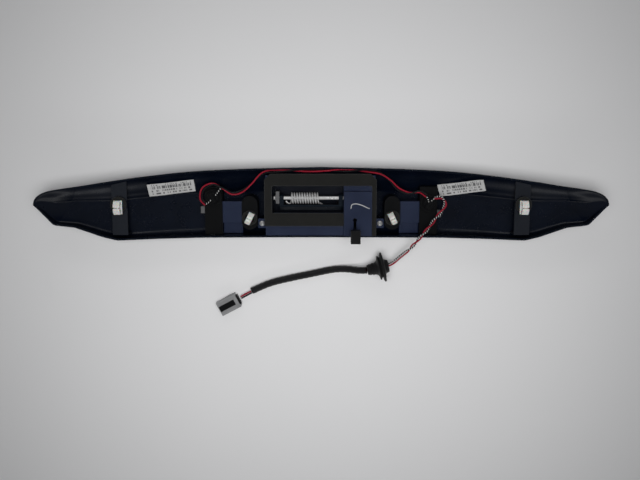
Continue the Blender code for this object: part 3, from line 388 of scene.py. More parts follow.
def harness_tape():
    """Black tape: satin, with wrinkles across the wrap and a few stretched creases."""
    made = moulded("harness_tape", (0.0040, 0.0040, 0.0046), (0.0100, 0.0100, 0.0108),
                   roughness=0.34, grain=700, relief=0.2, dust=0.3)
    lay = made.laid()
    creases = made.mottle(1.0, 4, 0.6, made.stretched((420, 5, 1), lay))
    made.raised(creases, 0.5, 0.0006)
    made.raised(made.mottle(260, 2), 0.2, 0.0004)
    return made.material


def bright_steel(name, metallic):
    """Bright plated wire and rod with drawing lines and faint tarnish."""
    made = Finish(name, Metallic=metallic, Anisotropic=0.3)
    tarnish = made.mottle(120, 4, 0.6)
    drawn = made.mottle(1.0, 2, 0.5, made.stretched((160, 2600, 2600)))
    made.coloured(made.blend(made.between(tarnish, 0.4, 0.8), (0.92, 0.92, 0.92), (0.74, 0.73, 0.71)))
    dulled = made.between(tarnish, 0.3, 0.8, 0.24, 0.38)
    made.gloss(made.calc("ADD", dulled, made.between(drawn, 0, 1, -0.03, 0.05)))
    made.raised(drawn, 0.12, 0.0001)
    return made.material


def clear_plastic():
    """Clear lens plastic, faintly smoky, with fine haze marks."""
    made = Finish("clear_plastic", Transmission_Weight=0.85, IOR=1.49)
    haze = made.mottle(80, 5, 0.7)
    made.coloured(made.blend(made.between(haze, 0.4, 0.8), (0.86, 0.88, 0.90), (0.70, 0.73, 0.76)))
    made.gloss(made.between(haze, 0.3, 0.8, 0.05, 0.20))
    made.raised(made.mottle(500, 2), 0.05, 0.0001)
    return made.material


def bulb_glass():
    """Thin bulb glass with a grey bloom in patches."""
    made = Finish("bulb_glass", Transmission_Weight=0.9, IOR=1.45)
    bloom = made.mottle(160, 3)
    made.coloured(made.blend(made.between(bloom, 0.4, 0.8), (0.95, 0.95, 0.95), (0.75, 0.76, 0.78)))
    made.gloss(made.between(bloom, 0.3, 0.8, 0.02, 0.10))
    made.raised(bloom, 0.05, 0.0002)
    return made.material


# A pale stripe winding round the black wires, a painted highlight standing for the glints on the twisted
# wire
GLINT_STRIPE_PITCH = 0.0042
GLINT_STRIPE_SHARE = 0.34
GLINT_STRIPE_COLOUR = (0.55, 0.55, 0.54)


def insulation(name, deep, pale, painted_glints=False):
    """Glossy wire insulation, slightly wavy and dull in patches; the flag adds a pale winding stripe of
    painted highlight for the glints on twisted wire.
    """
    made = moulded(name, deep, pale, roughness=0.30, grain=1100, relief=0.08, dust=0.35)
    lay = made.laid()
    if painted_glints:
        split = made.node("ShaderNodeSeparateXYZ", Vector=lay)
        wound = made.calc("DIVIDE", split.outputs[0], GLINT_STRIPE_PITCH)
        turn = made.calc("FRACT", made.calc("ADD", wound, split.outputs[1]))
        stripe = made.calc("LESS_THAN", turn, GLINT_STRIPE_SHARE)
        made.coloured(made.blend(stripe, made.colour_so_far(), GLINT_STRIPE_COLOUR))
    made.raised(made.mottle(1.0, 2, 0.5, made.stretched((90, 3, 1), lay)), 0.15, 0.0003)
    return made.material


# Rows of bars: lowest and highest share of the label's height, bars that fit in the row, share printed
BAR_ROWS = ((0.56, 0.80, 96, 0.60), (0.34, 0.48, 70, 0.52), (0.12, 0.25, 62, 0.42), (0.84, 0.92, 60, 0.25))
BAR_MARGIN = 0.07
INK = (0.035, 0.035, 0.04)
INK_COVER = 0.82


def label_paper():
    """Coated paper with rows of plain dark bars and slightly yellowed patches."""
    made = Finish("label_paper", Specular_IOR_Level=0.3)
    lay = made.laid()
    split = made.node("ShaderNodeSeparateXYZ", Vector=lay)
    across, up = split.outputs[0], split.outputs[1]
    inside = made.calc("MULTIPLY", made.calc("GREATER_THAN", across, BAR_MARGIN),
                       made.calc("LESS_THAN", across, 1 - BAR_MARGIN))
    ink = None
    for seed, (low, high, count, share) in enumerate(BAR_ROWS, 1):
        step = made.calc("FLOOR", made.calc("MULTIPLY", across, count))
        dice = made.node("ShaderNodeTexWhiteNoise", {"noise_dimensions": "1D"})
        made.feed(dice.inputs["W"], made.calc("ADD", step, seed * 1000.0))
        bar = made.calc("LESS_THAN", dice.outputs[0], share)
        band = made.calc("MULTIPLY", made.calc("GREATER_THAN", up, low), made.calc("LESS_THAN", up, high))
        row = made.calc("MULTIPLY", bar, band)
        ink = row if ink is None else made.calc("MAXIMUM", ink, row)
    ink = made.calc("MULTIPLY", made.calc("MULTIPLY", ink, inside), INK_COVER)
    fibre = made.mottle(1300, 3, 0.6)
    sheet = made.blend(made.between(fibre, 0.3, 0.7), (0.50, 0.50, 0.495), (0.62, 0.62, 0.615))
    stain = made.between(made.mottle(40, 4), 0.5, 0.8, 0, 0.3)
    sheet = made.blend(stain, sheet, (0.54, 0.52, 0.46))
    made.coloured(made.blend(ink, sheet, INK))
    made.gloss(made.between(fibre, 0.3, 0.7, 0.5, 0.65))
    made.raised(fibre, 0.2, 0.0001)
    return made.material


def floor_paper():
    """Plain pale backdrop paper, a little uneven in shade."""
    made = Finish("floor_paper", Specular_IOR_Level=0.2)
    made.coloured(made.blend(made.mottle(3, 3), (0.77, 0.768, 0.775), (0.79, 0.788, 0.793)))
    made.gloss(made.between(made.mottle(30, 3), 0.3, 0.7, 0.75, 0.85))
    made.raised(made.mottle(700, 3), 0.05, 0.0002)
    return made.material


PAINT = body_paint()
# The inner mouldings' blue is set lighter as a painted sheen; the frame's also turns near black low down as
# painted shade
SHEENED_HOUSING_PAINT = housing_paint("housing_paint", -0.01)
SHEENED_SHADED_FRAME_PAINT = housing_paint("frame_paint", 0.036)
# The end straps' blue-grey, set lighter as a painted sheen
SHEENED_BRACKET = bracket_plastic()
PADDLE = paddle_plastic()
DARK = dark_plastic()
GREY = grey_plastic("grey_plastic", (0.09, 0.09, 0.093), (0.15, 0.15, 0.155))
PLUG_GREY = grey_plastic("plug_grey", (0.200, 0.202, 0.206), (0.290, 0.292, 0.298))
NYLON = white_nylon()
FOAM = sealing_foam()
RUBBER = black_rubber()
TAPE = harness_tape()
STEEL = bright_steel("bright_steel", 0.5)
ZINC = bright_steel("zinc_plate", 0.85)
CLEAR = clear_plastic()
GLASS = bulb_glass()
PAPER = label_paper()
RED = insulation("red_insulation", (0.21, 0.007, 0.019), (0.33, 0.013, 0.030))
BLACK = insulation("black_insulation", (0.004, 0.004, 0.005), (0.010, 0.010, 0.011))
# Black insulation with a pale winding stripe of painted highlight
GLINT_STRIPED = insulation("striped_insulation", (0.004, 0.004, 0.005), (0.010, 0.010, 0.011), True)


# ---------------------------------------------------------------- making pieces

def put(name, data):
    """A new object in the scene for some data."""
    made = bpy.data.objects.new(name, data)
    bpy.context.scene.collection.objects.link(made)
    return made


def from_shape(name, shape):
    """A plain mesh object from a shape, which is used up."""
    data = bpy.data.meshes.new(name)
    shape.to_mesh(data)
    shape.free()
    return put(name, data)


def settled(host):
    """The plain mesh object that a host with modifiers, or a curve, comes to."""
    bpy.context.view_layer.update()
    data = bpy.data.meshes.new_from_object(host.evaluated_get(bpy.context.evaluated_depsgraph_get()))
    name = host.name
    bpy.data.objects.remove(host, do_unlink=True)
    data.name = name
    return put(name, data)


def taken(piece):
    """A piece's mesh, with its object removed."""
    data = piece.data
    bpy.data.objects.remove(piece, do_unlink=True)
    return data


def dressed(piece, finish, body="root", stands_for=(), crease=35):
    """Gives a finished piece its material, smooth shading, body and the nodes it stands for."""
    piece.data.materials.clear()
    piece.data.materials.append(finish)
    piece.data.polygons.foreach_set("material_index", [0] * len(piece.data.polygons))
    if crease:
        piece.data.shade_smooth()
        piece.data.set_sharp_from_angle(angle=math.radians(crease))
    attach(piece, body)
    if stands_for:
        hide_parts(*stands_for)
    return piece


class Growth(Wiring):
    """A Geometry Nodes tree with named inputs for its sizes."""

    def __init__(self, name, **inputs):
        super().__init__(bpy.data.node_groups.new(name, "GeometryNodeTree"))
        face = self.tree.interface
        face.new_socket("Geometry", in_out="INPUT", socket_type="NodeSocketGeometry")
        for label, kind in inputs.items():
            face.new_socket(label.replace("_", " "), in_out="INPUT", socket_type="NodeSocket" + kind)
        face.new_socket("Material", in_out="INPUT", socket_type="NodeSocketMaterial")
        face.new_socket("Geometry", in_out="OUTPUT", socket_type="NodeSocketGeometry")
        self.given = self.tree.nodes.new("NodeGroupInput").outputs

    def vector(self, x, y, z):
        """Three numbers as one vector."""
        return self.node("ShaderNodeCombineXYZ", X=x, Y=y, Z=z).outputs[0]

    def table(self, value, points, reach=1.0, smooth=True):
        """A height read from a table of (place, height) points, as a smooth or a straight-sided line."""
        made = self.node("ShaderNodeFloatCurve")
        line = made.mapping.curves[0]
        while len(line.points) < len(points):
            line.points.new(0.5, 0.5)
        for knot, (place, height) in zip(line.points, points):
            knot.location = (place, height / reach)
            knot.handle_type = "AUTO_CLAMPED" if smooth else "VECTOR"
        made.mapping.update()
        self.feed(made.inputs["Value"], value)
        return self.calc("MULTIPLY", made.outputs[0], reach)

    def ends_in(self, geometry):
        """Ends the tree: makes every copy real and gives the material."""
        real = self.node("GeometryNodeRealizeInstances", Geometry=geometry).outputs[0]
        shown = self.node("GeometryNodeSetMaterial", Geometry=real, Material=self.given["Material"])
        out = self.tree.nodes.new("NodeGroupOutput")
        self.tree.links.new(shown.outputs[0], out.inputs["Geometry"])
        return self.tree


def grown(name, data, tree, material, **values):
    """The plain mesh object that a tree makes from data with these sizes."""
    host = put(name, data)
    change = host.modifiers.new(tree.name, "NODES")
    change.node_group = tree
    values["Material"] = material
    for item in tree.interface.items_tree:
        if item.in_out == "INPUT" and item.name.replace(" ", "_") in values:
            change[item.identifier] = values[item.name.replace(" ", "_")]
    return settled(host)


def cord_tree():
    """A round skin along a line, with a lay-along map and, if asked, the small steps of a tape wrap."""
    made = Growth("cord", Radius="Float", Sides="Int", Wrap_pitch="Float", Wrap_step="Float")
    along = made.node("GeometryNodeSplineParameter").outputs["Length"]
    held = made.node("GeometryNodeCaptureAttribute", Geometry=made.given["Geometry"])
    held.capture_items.new("FLOAT", "along")
    made.feed(held.inputs[1], along)
    ring = made.node("GeometryNodeCurvePrimitiveCircle", Resolution=made.given["Sides"],
                     Radius=made.given["Radius"]).outputs["Curve"]
    around = made.node("GeometryNodeSplineParameter").outputs["Factor"]
    ring_held = made.node("GeometryNodeCaptureAttribute", Geometry=ring)
    ring_held.capture_items.new("FLOAT", "around")
    made.feed(ring_held.inputs[1], around)
    skin = made.node("GeometryNodeCurveToMesh", Curve=held.outputs[0], Profile_Curve=ring_held.outputs[0],
                     Fill_Caps=True).outputs[0]
    wraps = made.calc("DIVIDE", held.outputs[1], made.given["Wrap pitch"])
    turns = made.calc("ADD", wraps, ring_held.outputs[1])
    lip = made.calc("MULTIPLY", made.calc("FRACT", turns), made.given["Wrap step"])
    normal = made.node("GeometryNodeInputNormal").outputs[0]
    inward = made.node("ShaderNodeVectorMath", {"operation": "SCALE"}, Vector=normal,
                       Scale=made.calc("MULTIPLY", lip, -1.0)).outputs[0]
    moved = made.node("GeometryNodeSetPosition", Geometry=skin, Offset=inward).outputs[0]
    lay = made.vector(held.outputs[1], ring_held.outputs[1], 0.0)
    mapped = made.node("GeometryNodeStoreNamedAttribute", {"data_type": "FLOAT2", "domain": "CORNER"},
                       Geometry=moved, Name="UVMap")
    made.feed(next(s for s in mapped.inputs if s.name == "Value" and s.enabled), lay)
    return made.ends_in(mapped.outputs[0])


CORD = cord_tree()


def line_curve(name, points):
    """A curve that runs straight from point to point."""
    curve = bpy.data.curves.new(name, "CURVE")
    curve.dimensions = "3D"
    spline = curve.splines.new("POLY")
    spline.points.add(len(points) - 1)
    for point, place in zip(spline.points, points):
        point.co = (*place, 1)
    return curve


def skinned(name, points, radius, material, sides=12, pitch=1.0, step=0.0):
    """A round cord along a line; pitch and step give it the edge of a wrapped tape."""
    return grown(name, line_curve(name, points), CORD, material, Radius=radius, Sides=sides,
                 Wrap_pitch=pitch, Wrap_step=step)


# ---------------------------------------------------------------- harness

def laid_wire(run, colour, line, finish):
    """One insulated wire of a run, in place of its CAD node."""
    wire = skinned(f"{run}_lead_{colour}", line, WIRE_RADIUS, finish)
    return dressed(wire, finish, stands_for=[f"{run}_wire_{colour}"], crease=60)


def laid_pair(run, route, turns, finishes):
    """A red and a dark wire that wind round each other."""
    for line, colour, finish in zip(twisted_pair(route, -PAIR_OFFSET, turns), ("red", "black"), finishes):
        wire = laid_wire(run, colour, line, finish)


def link_wires():
    """The pair that crosses from the right lamp to the left one, over the top of the handle housing."""
    def turns(_share, point):
        return np.interp(point.x, [x for x, _ in LINK_TURNS], [t for _, t in LINK_TURNS])

    laid_pair("link", LINK_ROUTE, turns, (RED, BLACK))


def feed_wires():
    """The pair from the right lamp down to the grommet, wound round each other until near the edge."""
    def turns(share, _point):
        return FEED_TURNS * min(share, FEED_WOUND_SHARE)

    laid_pair("feed", FEED_ROUTE, turns, (RED, GLINT_STRIPED))


def plug_wires():
    """The short stretch of wire outside the sleeve, between the sleeve and the plug."""
    for colour, finish, aside in (("red", RED, 0.0), ("black", BLACK, 1.0)):
        line = smooth_line([Vector(p) + PLUG_PAIR_OFFSET * aside for p in PLUG_WIRE_ROUTE])
        laid_wire("plug", colour, line, finish)


def taped_sleeve():
    """The bundle wrapped in tape, from the grommet to the plug."""
    line = smooth_line(SLEEVE_ROUTE, 0.001)
    sleeve = skinned("taped_sleeve", line, SLEEVE_RADIUS, TAPE, sides=28, pitch=TAPE_PITCH, step=TAPE_STEP)
    dressed(sleeve, TAPE, stands_for=["harness_sleeve"], crease=60)


# ---------------------------------------------------------------- garnish shell

HALF = 0.480
TOP_REACH = 0.0623
BOTTOM_REACH = 0.0577
WALL = 0.003
COLUMNS = 128
ROWS = 44
CREASE_COLUMN = 102
CREASE = 0.887
# Outline and section, as shares of the shell's own sizes
TOP_EDGE = ((0, 1), (0.283, 0.947), (0.452, 0.884), (0.625, 0.746), (0.721, 0.647), (0.833, 0.514),
            (0.944, 0.384), (0.966, 0.33), (0.982, 0.262), (0.992, 0.19), (0.998, 0.11), (1, 0.04))
BOTTOM_EDGE = ((0, 1), (0.43, 1), (0.57, 1.022), (0.70, 1.058), (0.719, 1.06), (0.735, 1.03), (0.771, 0.95),
               (0.817, 0.806), (0.863, 0.666), (0.927, 0.598), (0.937, 0.566), (0.983, 0.139), (0.993, 0.05),
               (1, 0))
SECTION_ACROSS = (1, 1, 0.935, 0.815, 0.71, 0.6, 0.13, 0.05, 0.012, 0, 0)
SECTION_DOWN = (0, 0.1, 0.36, 0.62, 0.85, 1, 1, 0.93, 0.78, 0.55, 0)
# How the trough rises, sweeps back and closes towards its tips
SHELL_FORM = {"Rim_height": 0.046, "Rim_rise": 0.026, "Lift": 0.060, "Flat_half": 0.110, "Sweep": 0.75,
              "Loss": 0.55, "Tip_close": 0.012}
LIP_ROUNDING = 0.0009
# Lowest and highest Y of a cut that goes right through the lower wall
CUT_FROM, CUT_TO = -0.08, -0.045
FINGER_OPENING_LOW = Vector((-0.072, CUT_FROM, 0.008))
FINGER_OPENING_HIGH = Vector((0.032, CUT_TO, 0.027))
LENS_CLEARANCE = 0.0004
# A screw boss, as (radius, height)
BOSS_PROFILE = ((0, 0.004), (0.0072, 0.004), (0.0060, 0.012), (0.0055, 0.0385), (0.0050, 0.0392),
                (0.0023, 0.0392), (0.0023, 0.024), (0, 0.024))


def shell_tree():
    """The trough as a rule: a sheet whose columns follow the outline and whose rows follow the section."""
    sizes = ("Half", "Top_reach", "Bottom_reach", "Rim_height", "Rim_rise", "Lift", "Flat_half", "Crease",
             "Sweep", "Loss", "Tip_close")
    made = Growth("shell", **dict.fromkeys(sizes, "Float"))
    size = {label: made.given[label.replace("_", " ")] for label in sizes}
    calc = made.calc
    sheet = made.node("GeometryNodeMeshGrid", Size_X=2.0, Size_Y=1.0, Vertices_X=2 * COLUMNS + 1,
                      Vertices_Y=ROWS + 1).outputs["Mesh"]
    at = made.node("ShaderNodeSeparateXYZ", Vector=made.node("GeometryNodeInputPosition").outputs[0])
    side = calc("SIGN", at.outputs[0])
    column = calc("ABSOLUTE", at.outputs[0])
    row = calc("SUBTRACT", 0.5, at.outputs[1])
    one = 1 / COLUMNS
    knee = CREASE_COLUMN * one
    spacing = ((0, 0), (knee - 3 * one, CREASE - 0.019), (knee - 2 * one, CREASE - 0.0045),
               (knee - one, CREASE - 0.0012), (knee, CREASE), (knee + one, CREASE + 0.0012),
               (knee + 2 * one, CREASE + 0.0045), (119 * one, 0.972), (125 * one, 0.9955), (1, 1))
    share = made.table(column, spacing, 1.0, False)
    count = len(SECTION_ACROSS) - 1
    across = made.table(row, [(i / count, a) for i, a in enumerate(SECTION_ACROSS)])
    down = made.table(row, [(i / count, d) for i, d in enumerate(SECTION_DOWN)])

    def outline_y(at_share):
        top = calc("MULTIPLY", made.table(at_share, TOP_EDGE), size["Top_reach"])
        low = calc("MULTIPLY", made.table(at_share, BOTTOM_EDGE, 1.1, False), size["Bottom_reach"])
        return calc("SUBTRACT", calc("MULTIPLY", calc("ADD", top, low), across), low)

    before = made.node("ShaderNodeClamp", Value=calc("DIVIDE", calc("SUBTRACT", 1.0, share),
                                                     calc("SUBTRACT", 1.0, size["Crease"]))).outputs[0]
    after = made.node("ShaderNodeClamp", Value=calc("DIVIDE", calc("SUBTRACT", share, 0.6),
                                                    calc("SUBTRACT", size["Crease"], 0.6))).outputs[0]
    lean = calc("MULTIPLY", size["Sweep"], calc("POWER", share, 2.0))
    slant = calc("MULTIPLY", calc("MULTIPLY", before, after), lean)
    x = calc("SUBTRACT", calc("MULTIPLY", share, size["Half"]), calc("MULTIPLY", slant, outline_y(share)))
    placed = calc("MINIMUM", calc("DIVIDE", x, size["Half"]), 1.0)
    y = outline_y(placed)
    x = calc("MULTIPLY", placed, size["Half"])
    square = calc("POWER", placed, 2.0)
    rim = calc("ADD", size["Rim_height"], calc("MULTIPLY", size["Rim_rise"], square))
    along = calc("ADD", x, calc("MULTIPLY", calc("MULTIPLY", size["Sweep"], square), y))
    climb = calc("DIVIDE", calc("MAXIMUM", calc("SUBTRACT", along, size["Flat_half"]), 0.0),
                 calc("SUBTRACT", size["Half"], size["Flat_half"]))
    past = calc("DIVIDE", calc("SUBTRACT", calc("DIVIDE", along, size["Half"]), size["Crease"]),
                calc("SUBTRACT", 1.0, size["Crease"]))
    past = made.node("ShaderNodeClamp", Value=past).outputs[0]
    to_tip = calc("DIVIDE", calc("SUBTRACT", size["Half"], x), size["Tip_close"])
    tip = calc("SQRT", calc("MAXIMUM", to_tip, 0.0))
    full = calc("SUBTRACT", rim, calc("MULTIPLY", size["Lift"], calc("POWER", climb, 1.5)))
    left = calc("SUBTRACT", 1.0, calc("MULTIPLY", size["Loss"], past))
    depth = calc("MULTIPLY", calc("MULTIPLY", full, left), calc("MINIMUM", tip, 1.0))
    z = calc("SUBTRACT", rim, calc("MULTIPLY", down, depth))
    moved = made.node("GeometryNodeSetPosition", Geometry=sheet,
                      Position=made.vector(calc("MULTIPLY", side, x), y, z)).outputs[0]
    return made.ends_in(moved)


def block(low, high, edge=0.0):
    """A box shape, with its edges rounded if edge is given."""
    shape = bmesh.new()
    bmesh.ops.create_cube(shape, size=1)
    bmesh.ops.scale(shape, vec=Vector(high) - Vector(low), verts=shape.verts)
    bmesh.ops.translate(shape, vec=(Vector(high) + Vector(low)) / 2, verts=shape.verts)
    if edge:
        bmesh.ops.bevel(shape, geom=shape.edges[:], offset=edge, segments=2, affect="EDGES", profile=0.5)
    return shape


def turned(profile, centre=(0, 0, 0), axis=(0, 0, 1), sides=32):
    """A closed shape turned from a profile of (radius, height) about an axis through centre."""
    shape = bmesh.new()
    rings = []
    for radius, height in profile:
        if radius < WELD:
            rings.append([shape.verts.new((0, 0, height))])
            continue
        angles = [2 * math.pi * i / sides for i in range(sides)]
        rings.append([shape.verts.new((radius * math.cos(a), radius * math.sin(a), height)) for a in angles])
    for ring, following in zip(rings, rings[1:]):
        for i in range(sides):
            j = (i + 1) % sides
            corners = [ring[i % len(ring)], ring[j % len(ring)], following[j % len(following)],
                       following[i % len(following)]]
            corners = list(dict.fromkeys(corners))
            if len(corners) > 2:
                shape.faces.new(corners)
    bmesh.ops.remove_doubles(shape, verts=shape.verts, dist=WELD / 10)
    bmesh.ops.recalc_face_normals(shape, faces=shape.faces)
    turn = Vector(axis).to_track_quat("Z", "Y").to_matrix().to_4x4()
    bmesh.ops.transform(shape, matrix=Matrix.Translation(centre) @ turn, verts=shape.verts)
    return shape


def sliced(piece, *tools, operation="DIFFERENCE"):
    """Cuts tools out of a piece, or adds them to it, one after another."""
    for tool in tools:
        tool = from_shape("tool", tool)
        change = piece.modifiers.new("cut", "BOOLEAN")
        change.operation = operation
        change.object = tool
        piece = settled(piece)
        bpy.data.objects.remove(tool, do_unlink=True)
    return piece


def rounded_off(piece, width, steps=2, angle=40):
    """Rounds a piece's edges, with its flat faces shaded flat, and returns the plain result."""
    change = piece.modifiers.new("edges", "BEVEL")
    change.width = width
    change.segments = steps
    change.limit_method = "ANGLE"
    change.angle_limit = math.radians(angle)
    change.use_clamp_overlap = True
    piece.data.shade_smooth()
    even = piece.modifiers.new("even_shading", "WEIGHTED_NORMAL")
    even.weight = 100
    even.keep_sharp = True
    return settled(piece)


def garnish_shell():
    """The painted trough: the sheet from its rule, given a wall, then its openings and screw bosses."""
    sheet = grown("garnish_shell", bpy.data.meshes.new("sheet"), shell_tree(), PAINT, Half=HALF,
                  Top_reach=TOP_REACH, Bottom_reach=BOTTOM_REACH, Crease=CREASE, **SHELL_FORM)
    shape = bmesh.new()
    shape.from_mesh(sheet.data)
    bmesh.ops.remove_doubles(shape, verts=shape.verts, dist=WELD)
    if max(shape.faces, key=lambda f: f.calc_area()).normal.z > 0:
        bmesh.ops.reverse_faces(shape, faces=shape.faces)
    shape.to_mesh(sheet.data)
    shape.free()
    wall = sheet.modifiers.new("wall", "SOLIDIFY")
    wall.thickness = WALL
    wall.offset = -1
    wall.use_even_offset = True
    shell = rounded_off(settled(sheet), LIP_ROUNDING, 3, 50)
    windows = [block(low, high) for low, high in lens_windows()]
    shell = sliced(shell, *windows, block(FINGER_OPENING_LOW, FINGER_OPENING_HIGH))
    bosses = []
    for side in ("left", "right"):
        low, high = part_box("housing_screw_" + side)
        x, y = (low.x + high.x) / 2, (low.y + high.y) / 2
        bosses.append(turned(BOSS_PROFILE, (x, y, 0)))
    shell = joined([shell, *[from_shape("boss", boss) for boss in bosses]])
    return dressed(shell, PAINT, stands_for=["garnish_panel"], crease=40)


def lens_windows():
    """The openings in the lower wall that the lenses sit in."""
    for side in ("left", "right"):
        low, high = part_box("lamp_lens_" + side)
        yield (Vector((low.x - LENS_CLEARANCE, CUT_FROM, low.z - LENS_CLEARANCE)),
               Vector((high.x + LENS_CLEARANCE, CUT_TO, high.z + LENS_CLEARANCE)))


def joined(pieces):
    """Several plain objects as one."""
    first = pieces[0]
    shape = bmesh.new()
    for piece in pieces:
        shape.from_mesh(piece.data)
    shape.to_mesh(first.data)
    shape.free()
    for piece in pieces[1:]:
        bpy.data.objects.remove(piece, do_unlink=True)
    return first


# ---------------------------------------------------------------- moulded pieces

def cad_copy(node, name):
    """A welded copy of a CAD node with its flat faces made whole."""
    shape = bmesh.new()
    shape.from_mesh(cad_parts[node].data)
    bmesh.ops.remove_doubles(shape, verts=shape.verts, dist=WELD / 4)
    bmesh.ops.dissolve_limit(shape, angle_limit=math.radians(1), verts=shape.verts, edges=shape.edges)
    return from_shape(name, shape)


def moulding(node, finish, slot, edge, body="root", *extras):
    """The node's own shape with moulded edges, and any extra shapes added to it."""
    piece = cad_copy(node, node + "_moulding")
    if extras:
        piece = sliced(piece, *extras, operation="UNION")
    piece = rounded_off(piece, edge)
    return dressed(piece, finish, body, [node], None)


def prism(outline, low, high, axis="X"):
    """A flat outline made solid between two places along an axis."""
    shape = bmesh.new()
    put_point = {"X": lambda a, b, t: (t, a, b), "Z": lambda a, b, t: (a, b, t)}[axis]
    first = [shape.verts.new(put_point(a, b, low)) for a, b in outline]
    second = [shape.verts.new(put_point(a, b, high)) for a, b in outline]
    shape.faces.new(first)
    shape.faces.new(second)
    for i in range(len(outline)):
        j = (i + 1) % len(outline)
        shape.faces.new((first[i], first[j], second[j], second[i]))
    bmesh.ops.recalc_face_normals(shape, faces=shape.faces)
    return shape


def pair_tree():
    """Sets one shape down at two places, each turned by its own angle about the upright axis."""
    made = Growth("pair", Left_place="Vector", Right_place="Vector", Left_turn="Float", Right_turn="Float")
    ends = made.node("GeometryNodeMeshLine", {"mode": "END_POINTS"}, Count=2,
                     Start_Location=made.given["Left place"], Offset=made.given["Right place"]).outputs[0]
    which = made.node("GeometryNodeInputIndex").outputs[0]
    difference = made.calc("SUBTRACT", made.given["Right turn"], made.given["Left turn"])
    turn = made.calc("ADD", made.given["Left turn"], made.calc("MULTIPLY", difference, which))
    placed = made.node("GeometryNodeInstanceOnPoints", Points=ends, Instance=made.given["Geometry"],
                       Rotation=made.vector(0.0, 0.0, turn)).outputs[0]
    return made.ends_in(placed)


def ring_tree():
    """Sets one shape down a number of times round a circle, each turned to face outward."""
    made = Growth("ring", Count="Int", Radius="Float", Height="Float")
    circle = made.node("GeometryNodeMeshCircle", Vertices=made.given["Count"],
                       Radius=made.given["Radius"]).outputs[0]
    which = made.node("GeometryNodeInputIndex").outputs[0]
    step = made.calc("DIVIDE", 2 * math.pi, made.given["Count"])
    placed = made.node("GeometryNodeInstanceOnPoints", Points=circle, Instance=made.given["Geometry"],
                       Rotation=made.vector(0.0, 0.0, made.calc("MULTIPLY", which, step))).outputs[0]
    raised = made.node("GeometryNodeTransform", Geometry=placed,
                       Translation=made.vector(0.0, 0.0, made.given["Height"])).outputs[0]
    return made.ends_in(raised)


PAIR = pair_tree()
RING = ring_tree()


def middle(node, height):
    """The middle of a CAD node, at its lowest or highest point."""
    low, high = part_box(node)
    z = {"low": low.z, "high": high.z}[height]
    return Vector(((low.x + high.x) / 2, (low.y + high.y) / 2, z))


def as_pair(name, piece, nodes, finish, height="low", rise=0.0, turns=(0.0, 0.0), crease=35):
    """One finished shape, set down where the left and right CAD nodes are, with its turns in radians."""
    up = Vector((0, 0, rise))
    left, right = (middle(nodes + side, height) + up for side in ("_left", "_right"))
    both = grown(name, taken(piece), PAIR, finish, Left_place=left, Right_place=right,
                 Left_turn=turns[0], Right_turn=turns[1])
    return dressed(both, finish, stands_for=[nodes + "_left", nodes + "_right"], crease=crease)


FOAM_GRID = 0.0012
# How many waves there are in a metre, and how high they are
FOAM_UNEVENNESS = ((90, 0.00022), (420, 0.00012))


def foam_gasket():
    """The gasket round the housing, cut from sheet foam: soft edges and a slightly uneven face."""
    piece = cad_copy("housing_gasket", "foam_gasket")
    piece = rounded_off(piece, 0.0012)
    grid = piece.modifiers.new("even", "REMESH")
    grid.mode = "VOXEL"
    grid.voxel_size = FOAM_GRID
    piece = settled(piece)
    for point in piece.data.vertices:
        lift = sum(noise.noise(point.co * scale) * height for scale, height in FOAM_UNEVENNESS)
        point.co += point.normal * lift
    dressed(piece, FOAM, stands_for=["housing_gasket"], crease=60)


def foam_rings(name, nodes):
    """The foam rings under a pair of push-in clips, soft-edged and a little uneven on top."""
    low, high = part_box(nodes + "_left")
    outer, thick = (high.x - low.x) / 2, high.z - low.z
    inner = outer * 0.66
    edge = thick * 0.3
    profile = [(inner, edge), (inner, thick - edge), (inner + edge * 0.4, thick - edge * 0.3),
               (inner + edge, thick), (outer - edge, thick), (outer - edge * 0.3, thick - edge * 0.3),
               (outer, thick - edge), (outer, edge), (outer - edge * 0.3, edge * 0.3), (outer - edge, 0),
               (inner + edge, 0), (inner + edge * 0.3, edge * 0.3), (inner, edge)]
    shape = turned(profile, sides=56)
    for vert in shape.verts:
        if edge < vert.co.z:
            vert.co.z += noise.noise(vert.co * 260) * 0.00018
    rings = as_pair(name, from_shape(name + "_one", shape), nodes, FOAM, crease=70)


def push_clip(width, length, height):
    """A moulded push-in clip: a stepped foot, two sprung barbs and a web between them."""
    half, side = length / 2, width / 2
    waist, tip = half * 0.62, half * 0.42
    barb = [(waist * 0.72, 0.0018), (waist, 0.0018), (waist, 0.006), (half, 0.008), (half * 0.98, 0.0092),
            (tip, height), (tip * 0.5, height), (half * 0.68, 0.0090), (waist * 0.72, 0.0066)]
    other = [(-y, z) for y, z in reversed(barb)]
    clip = from_shape("clip", block((-side, -half, 0), (side, half, 0.0020)))
    neck = block((-side * 0.55, -waist * 0.5, 0.001), (side * 0.55, waist * 0.5, 0.005))
    web = prism([(-tip * 0.32, 0.0015), (tip * 0.32, 0.0015), (tip * 0.32, height), (-tip * 0.32, height)],
                -side * 0.42, side * 0.42)
    bridge = block((-side * 0.8, -tip, height - 0.0016), (side * 0.8, tip, height))
    barbs = [prism(outline, -side * 0.8, side * 0.8) for outline in (barb, other)]
    clip = sliced(clip, *barbs, neck, web, bridge, operation="UNION")
    slot = block((-side * 1.2, -tip * 0.18, height - 0.004), (side * 1.2, tip * 0.18, height + 0.001))
    clip = sliced(clip, slot)
    return rounded_off(clip, 0.00035)


def push_clips():
    """The four white clips: the inner pair is turned outward about the upright axis, the end pair stands
    square.
    """
    for place, width, length, lean in (("inner", 0.010, 0.020, 26), ("end", 0.014, 0.023, 0)):
        low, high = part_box(place + "_clip_left")
        clip = push_clip(width, length, high.z - low.z)
        turns = (-math.radians(lean), math.radians(lean))
        as_pair(place + "_push_clips", clip, place + "_clip", NYLON, turns=turns)


